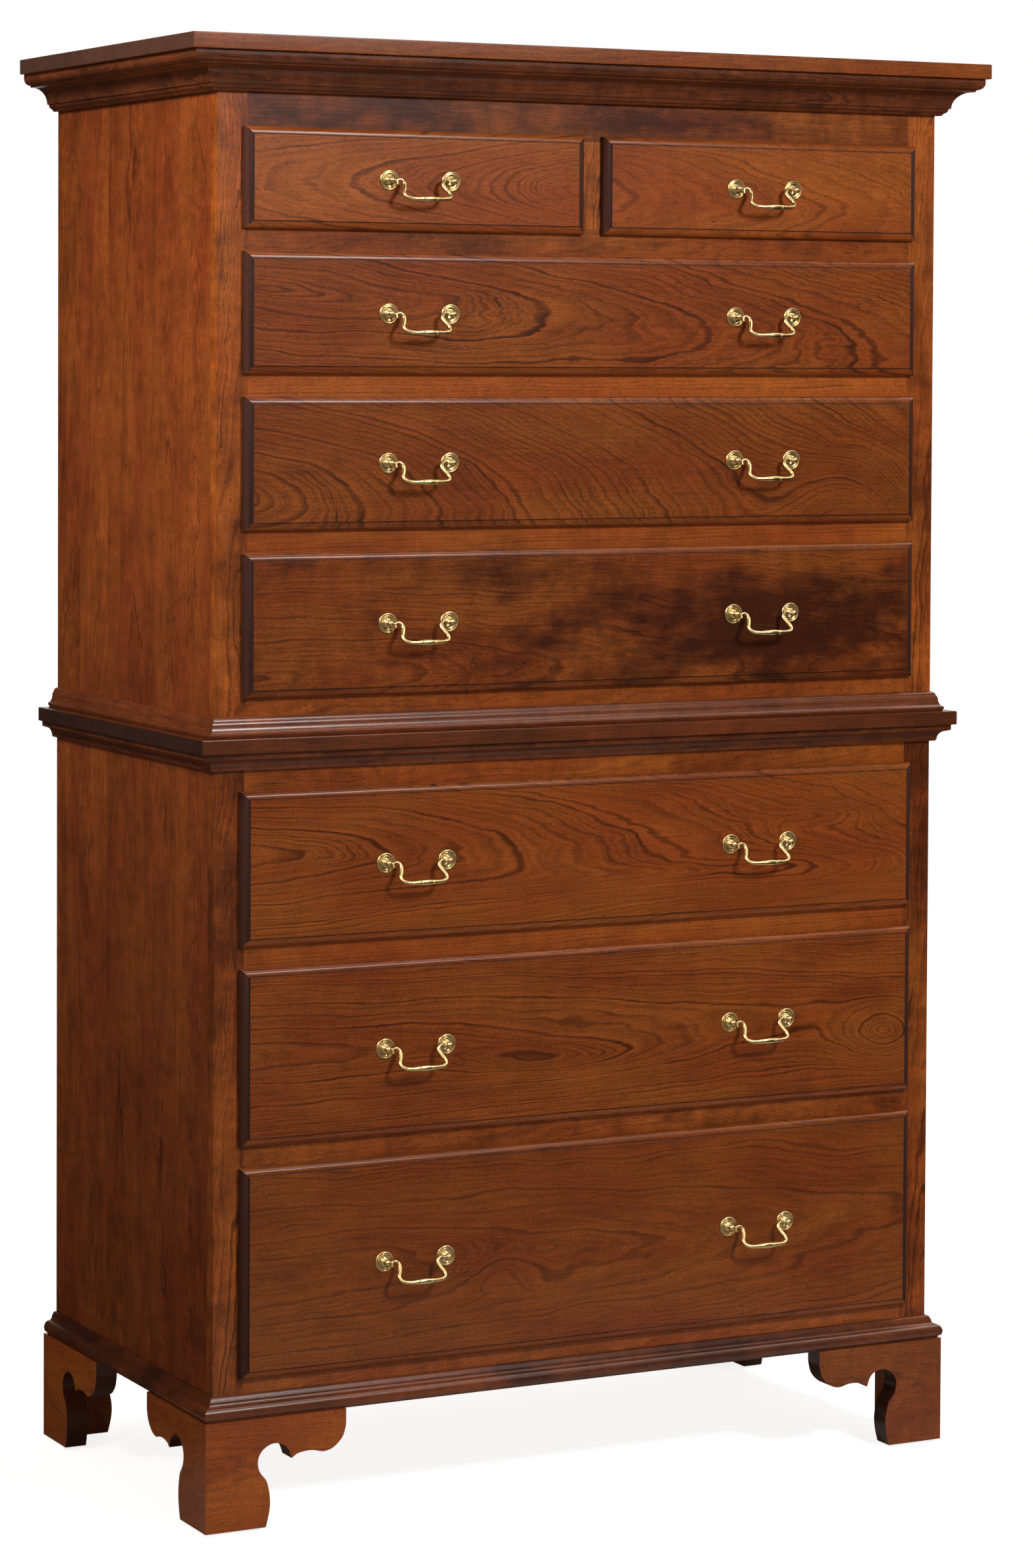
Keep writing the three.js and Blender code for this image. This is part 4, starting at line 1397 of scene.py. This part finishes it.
# Its raised tone is partly painted highlight: it lightens the front as the highlights along its round nose would
BASE = Moulding(
    name="base_moulding", seed=440,
    figure=Figure(
        pith=(0, 10, 60), lines=0.45, clouds=0.8, curl=0.35, tone=1.22,
        stains=(
            Swell(-90, 0, 34, 60, 0.16), Swell(20, 0, 50, 60, 0.1), Swell(160, 0, 70, 60, 0.18),
            Swell(335, 0, 50, 60, 0.16), Swell(-330, 0, 150, 60, -0.08),
        ),
    ),
    profile=(
        (0.0, 0.0), (12.6, 0.0), (12.6, 2.2), *quarter((12.6, 2.2), (17.2, 8.6), False),
        *quarter((17.2, 8.6), (10.2, 17.4), True), *quarter((10.2, 17.4), (6.4, 22.6), False), (4.6, 26.0),
        *quarter((4.6, 26.0), (0.0, 28.4), True),
    ),
)
LEDGE = CoverBoard(
    name="ledge_board", overhang=25.9, stock=17.4, finish=CHERRY_MOULDED, slot=Slot.MOULDING, seed=450,
    figure=Figure(pith=(0, -240, 40), lines=0.4, clouds=0.4, tone=0.95),
)
TOP = CoverBoard(
    name="top_board", overhang=52.7, stock=18.8, finish=replace(CHERRY, end="#5f4033"), slot=Slot.CASE, seed=460,
    figure=Figure(pith=(100, -170, 70), lean=(0.0, 0.05), lines=0.5, clouds=0.3, seams=(-150.0, -30.0, 90.0, 190.0)),
)

STILES = Figure(pith=(0, 30, 60), lean=(0.03, 0.02), sway=12.0, lines=0.85, clouds=0.75, curl=0.6)
SIDES = Figure(
    pith=(100, -200, 60), lean=(0.0, 0.03), ring=2.6, lines=0.75, clouds=0.55, curl=0.3,
    seams=(-150.0, -40.0, 75.0, 170.0),
)
RAIL = Figure(pith=(0, 20, 80), lean=(0.0, 0.03), lines=0.5, clouds=0.4, curl=0.4)
STRAIGHT_RAIL = Figure(pith=(0, 60, 60), lean=(0.0, 0.01), ring=2.4, sway=5.0, lines=0.55, clouds=0.2, curl=0.3)

# The stiles and rails sit back behind the drawer fronts: their tone holds painted light against the shade there, as
# well as each board's colour
LOWER = Case(
    name="lower", half=501.0, front=2.6, base=135.9, stile=38.4, bottom_rail=52.6, top_rail=53.8,
    openings=(240.3, 199.4, 172.4), paired=False, seed=100,
    stile_figures=(
        replace(STILES, tone=1.22, stains=(Swell(270, 0, 80, 60, 0.12), Swell(-230, 0, 100, 60, -0.1))),
        replace(STILES, tone=1.2, stains=(Swell(300, 0, 100, 60, 0.18), Swell(-130, 0, 110, 60, -0.1))),
    ),
    side_figure=replace(SIDES, tone=1.22),
    rail_figures=(
        replace(RAIL, tone=1.35), replace(RAIL, clouds=0.6, tone=1.25), replace(STRAIGHT_RAIL, clouds=0.4, tone=1.5),
        replace(RAIL, clouds=0.6, tone=1.34),
    ),
)
# As in the lower case, the stile and rail tone holds painted light and shade as well as each board's colour
UPPER = Case(
    name="upper", half=500.0, front=0.0, base=LOWER.top + LEDGE.stock, stile=39.3, bottom_rail=52.3, top_rail=92.3,
    openings=(160.1, 146.9, 133.2, 108.3), paired=True, seed=200,
    stile_figures=(
        replace(STILES, tone=1.5, stains=(Swell(-190, 0, 90, 60, 0.08),)),
        replace(STILES, tone=1.58, stains=(Swell(-109, 0, 85, 60, 0.22),)),
    ),
    side_figure=replace(SIDES, tone=1.19),
    rail_figures=(
        replace(RAIL, tone=1.3), replace(STRAIGHT_RAIL, clouds=0.5, tone=1.5), replace(STRAIGHT_RAIL, tone=1.7),
        replace(RAIL, clouds=0.7, tone=1.2, stains=(Swell(-190, 0, 110, 60, 0.16), Swell(60, 0, 300, 60, -0.08))),
        replace(
            RAIL, clouds=0.9, curl=0.5, tone=1.02,
            stains=(Swell(-220, 0, 160, 60, 0.16), Swell(120, 0, 150, 60, 0.1), Swell(380, 0, 130, 60, -0.12)),
        ),
    ),
)

# Figures of the drawer fronts as the photograph shows them, by the number of the drawer
# Their tone holds painted light and shade as well as each board's colour: within each case the fronts grow darker
# downwards
FRONTS = {
    "1_left": Figure(
        pith=(300, -4, -8), lean=(0.0, -0.1), ring=4.2, sway=9.0, lines=0.7, clouds=0.2, curl=0.12, tone=1.28,
        swells=(Swell(300, -5, 200, 90, -45),),
    ),
    "1_right": Figure(
        pith=(-60, -20, 70), lean=(-0.06, 0.1), ring=4.5, lines=0.55, clouds=0.3, curl=0.15, tone=1.28,
    ),
    "2": Figure(
        pith=(-430, 27, -8), lean=(-0.085, 0.12), ring=5.0, sway=14.0, lines=0.9, clouds=0.25, curl=0.1, tone=1.06,
    ),
    "3": Figure(
        pith=(-500, -38, -8), lean=(-0.09, 0.3), ring=5.6, sway=9.0, lines=0.85, clouds=0.25, curl=0.1, tone=0.93,
        swells=(Swell(375, -110, 90, 95, -110), Swell(345, 25, 22, 14, 8)),
    ),
    "4": Figure(
        pith=(-200, -60, 20), lean=(0.0, 0.1), ring=5.0, sway=16.0, lines=0.7, clouds=0.95, curl=0.25, tone=0.87,
        stains=(
            Swell(-320, -10, 200, 90, -0.12), Swell(40, -20, 180, 60, 0.12), Swell(340, -25, 200, 60, 0.24),
            Swell(10, -60, 50, 18, -0.14), Swell(300, 75, 200, 16, -0.14),
        ),
    ),
    "5": Figure(
        pith=(-560, 18, -8), lean=(-0.01, 0.13), ring=4.1, sway=10.0, lines=0.85, clouds=0.2, curl=0.1, tone=1.12,
        swells=(Swell(40, -32, 220, 17, -15), Swell(350, -40, 190, 32, -38), Swell(335, 32, 60, 12, -9)),
    ),
    "6": Figure(
        pith=(-640, 4, -6), lean=(-0.01, 0.06), ring=4.2, lines=0.85, clouds=0.3, curl=0.12, tone=1.05,
        swells=(Swell(-60, -28, 140, 20, -22), Swell(430, -30, 60, 42, -40)),
    ),
    "7": Figure(
        pith=(-300, -10, 16), lean=(0.0, 0.08), ring=6.0, sway=16.0, lines=0.6, clouds=0.25, curl=0.1, tone=0.91,
        swells=(Swell(-120, -30, 50, 26, 20),),
    ),
}


class ChestOnChest:
    """The whole chest, from the floor up."""

    def __init__(self) -> None:
        """Make the materials that several pieces share."""
        self.brass = BRASS.material()
        self.nylon = NYLON.material()

    def build(self) -> None:
        """Build every sub-assembly in order."""
        BracketFoot().build(LOWER, self.nylon)
        BASE.build(LOWER, LOWER.base)
        LOWER.build()
        LEDGE_COVE.build(LOWER, LOWER.top - COVE_HEIGHT)
        LEDGE.build(LOWER)
        WAIST.build(UPPER, UPPER.base)
        UPPER.build()
        CORNICE.build(UPPER, UPPER.top - CORNICE_HEIGHT)
        TOP.build(UPPER)
        POPLAR.dress(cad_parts["upper_divider"], Cut.SIDE_RAIL, Figure(lines=0.4), seed=300)
        self._drawers()

    def _drawers(self) -> None:
        """Build the drawers, numbered downwards by row. The handles of the long ones line up with the small ones'."""
        small = UPPER.spans(len(UPPER.openings) - 1)[1]
        place = (small[0] + small[1]) / 2
        rows = [(case, index) for case in (LOWER, UPPER) for index in range(len(case.openings))]
        for count, (case, index) in enumerate(rows):
            number = len(rows) - count
            labels, handles = [f"{number}"], (("left_bail", -place), ("right_bail", place))
            if len(case.spans(index)) > 1:
                labels, handles = [f"{number}_left", f"{number}_right"], (("bail", 0.0),)
            for label, span in zip(labels, case.spans(index)):
                seed = 500 + 20 * number + len(label)
                drawer = Drawer(f"drawer_{label}", FRONTS[label], seed, handles)
                drawer.build(case, case.rows()[index], span, self.brass)


def main() -> None:
    """Build the studio and the chest."""
    logging.basicConfig(level=logging.INFO, format="%(name)s: %(message)s")
    Studio().build()
    ChestOnChest().build()


if __name__ == "__main__":
    main()
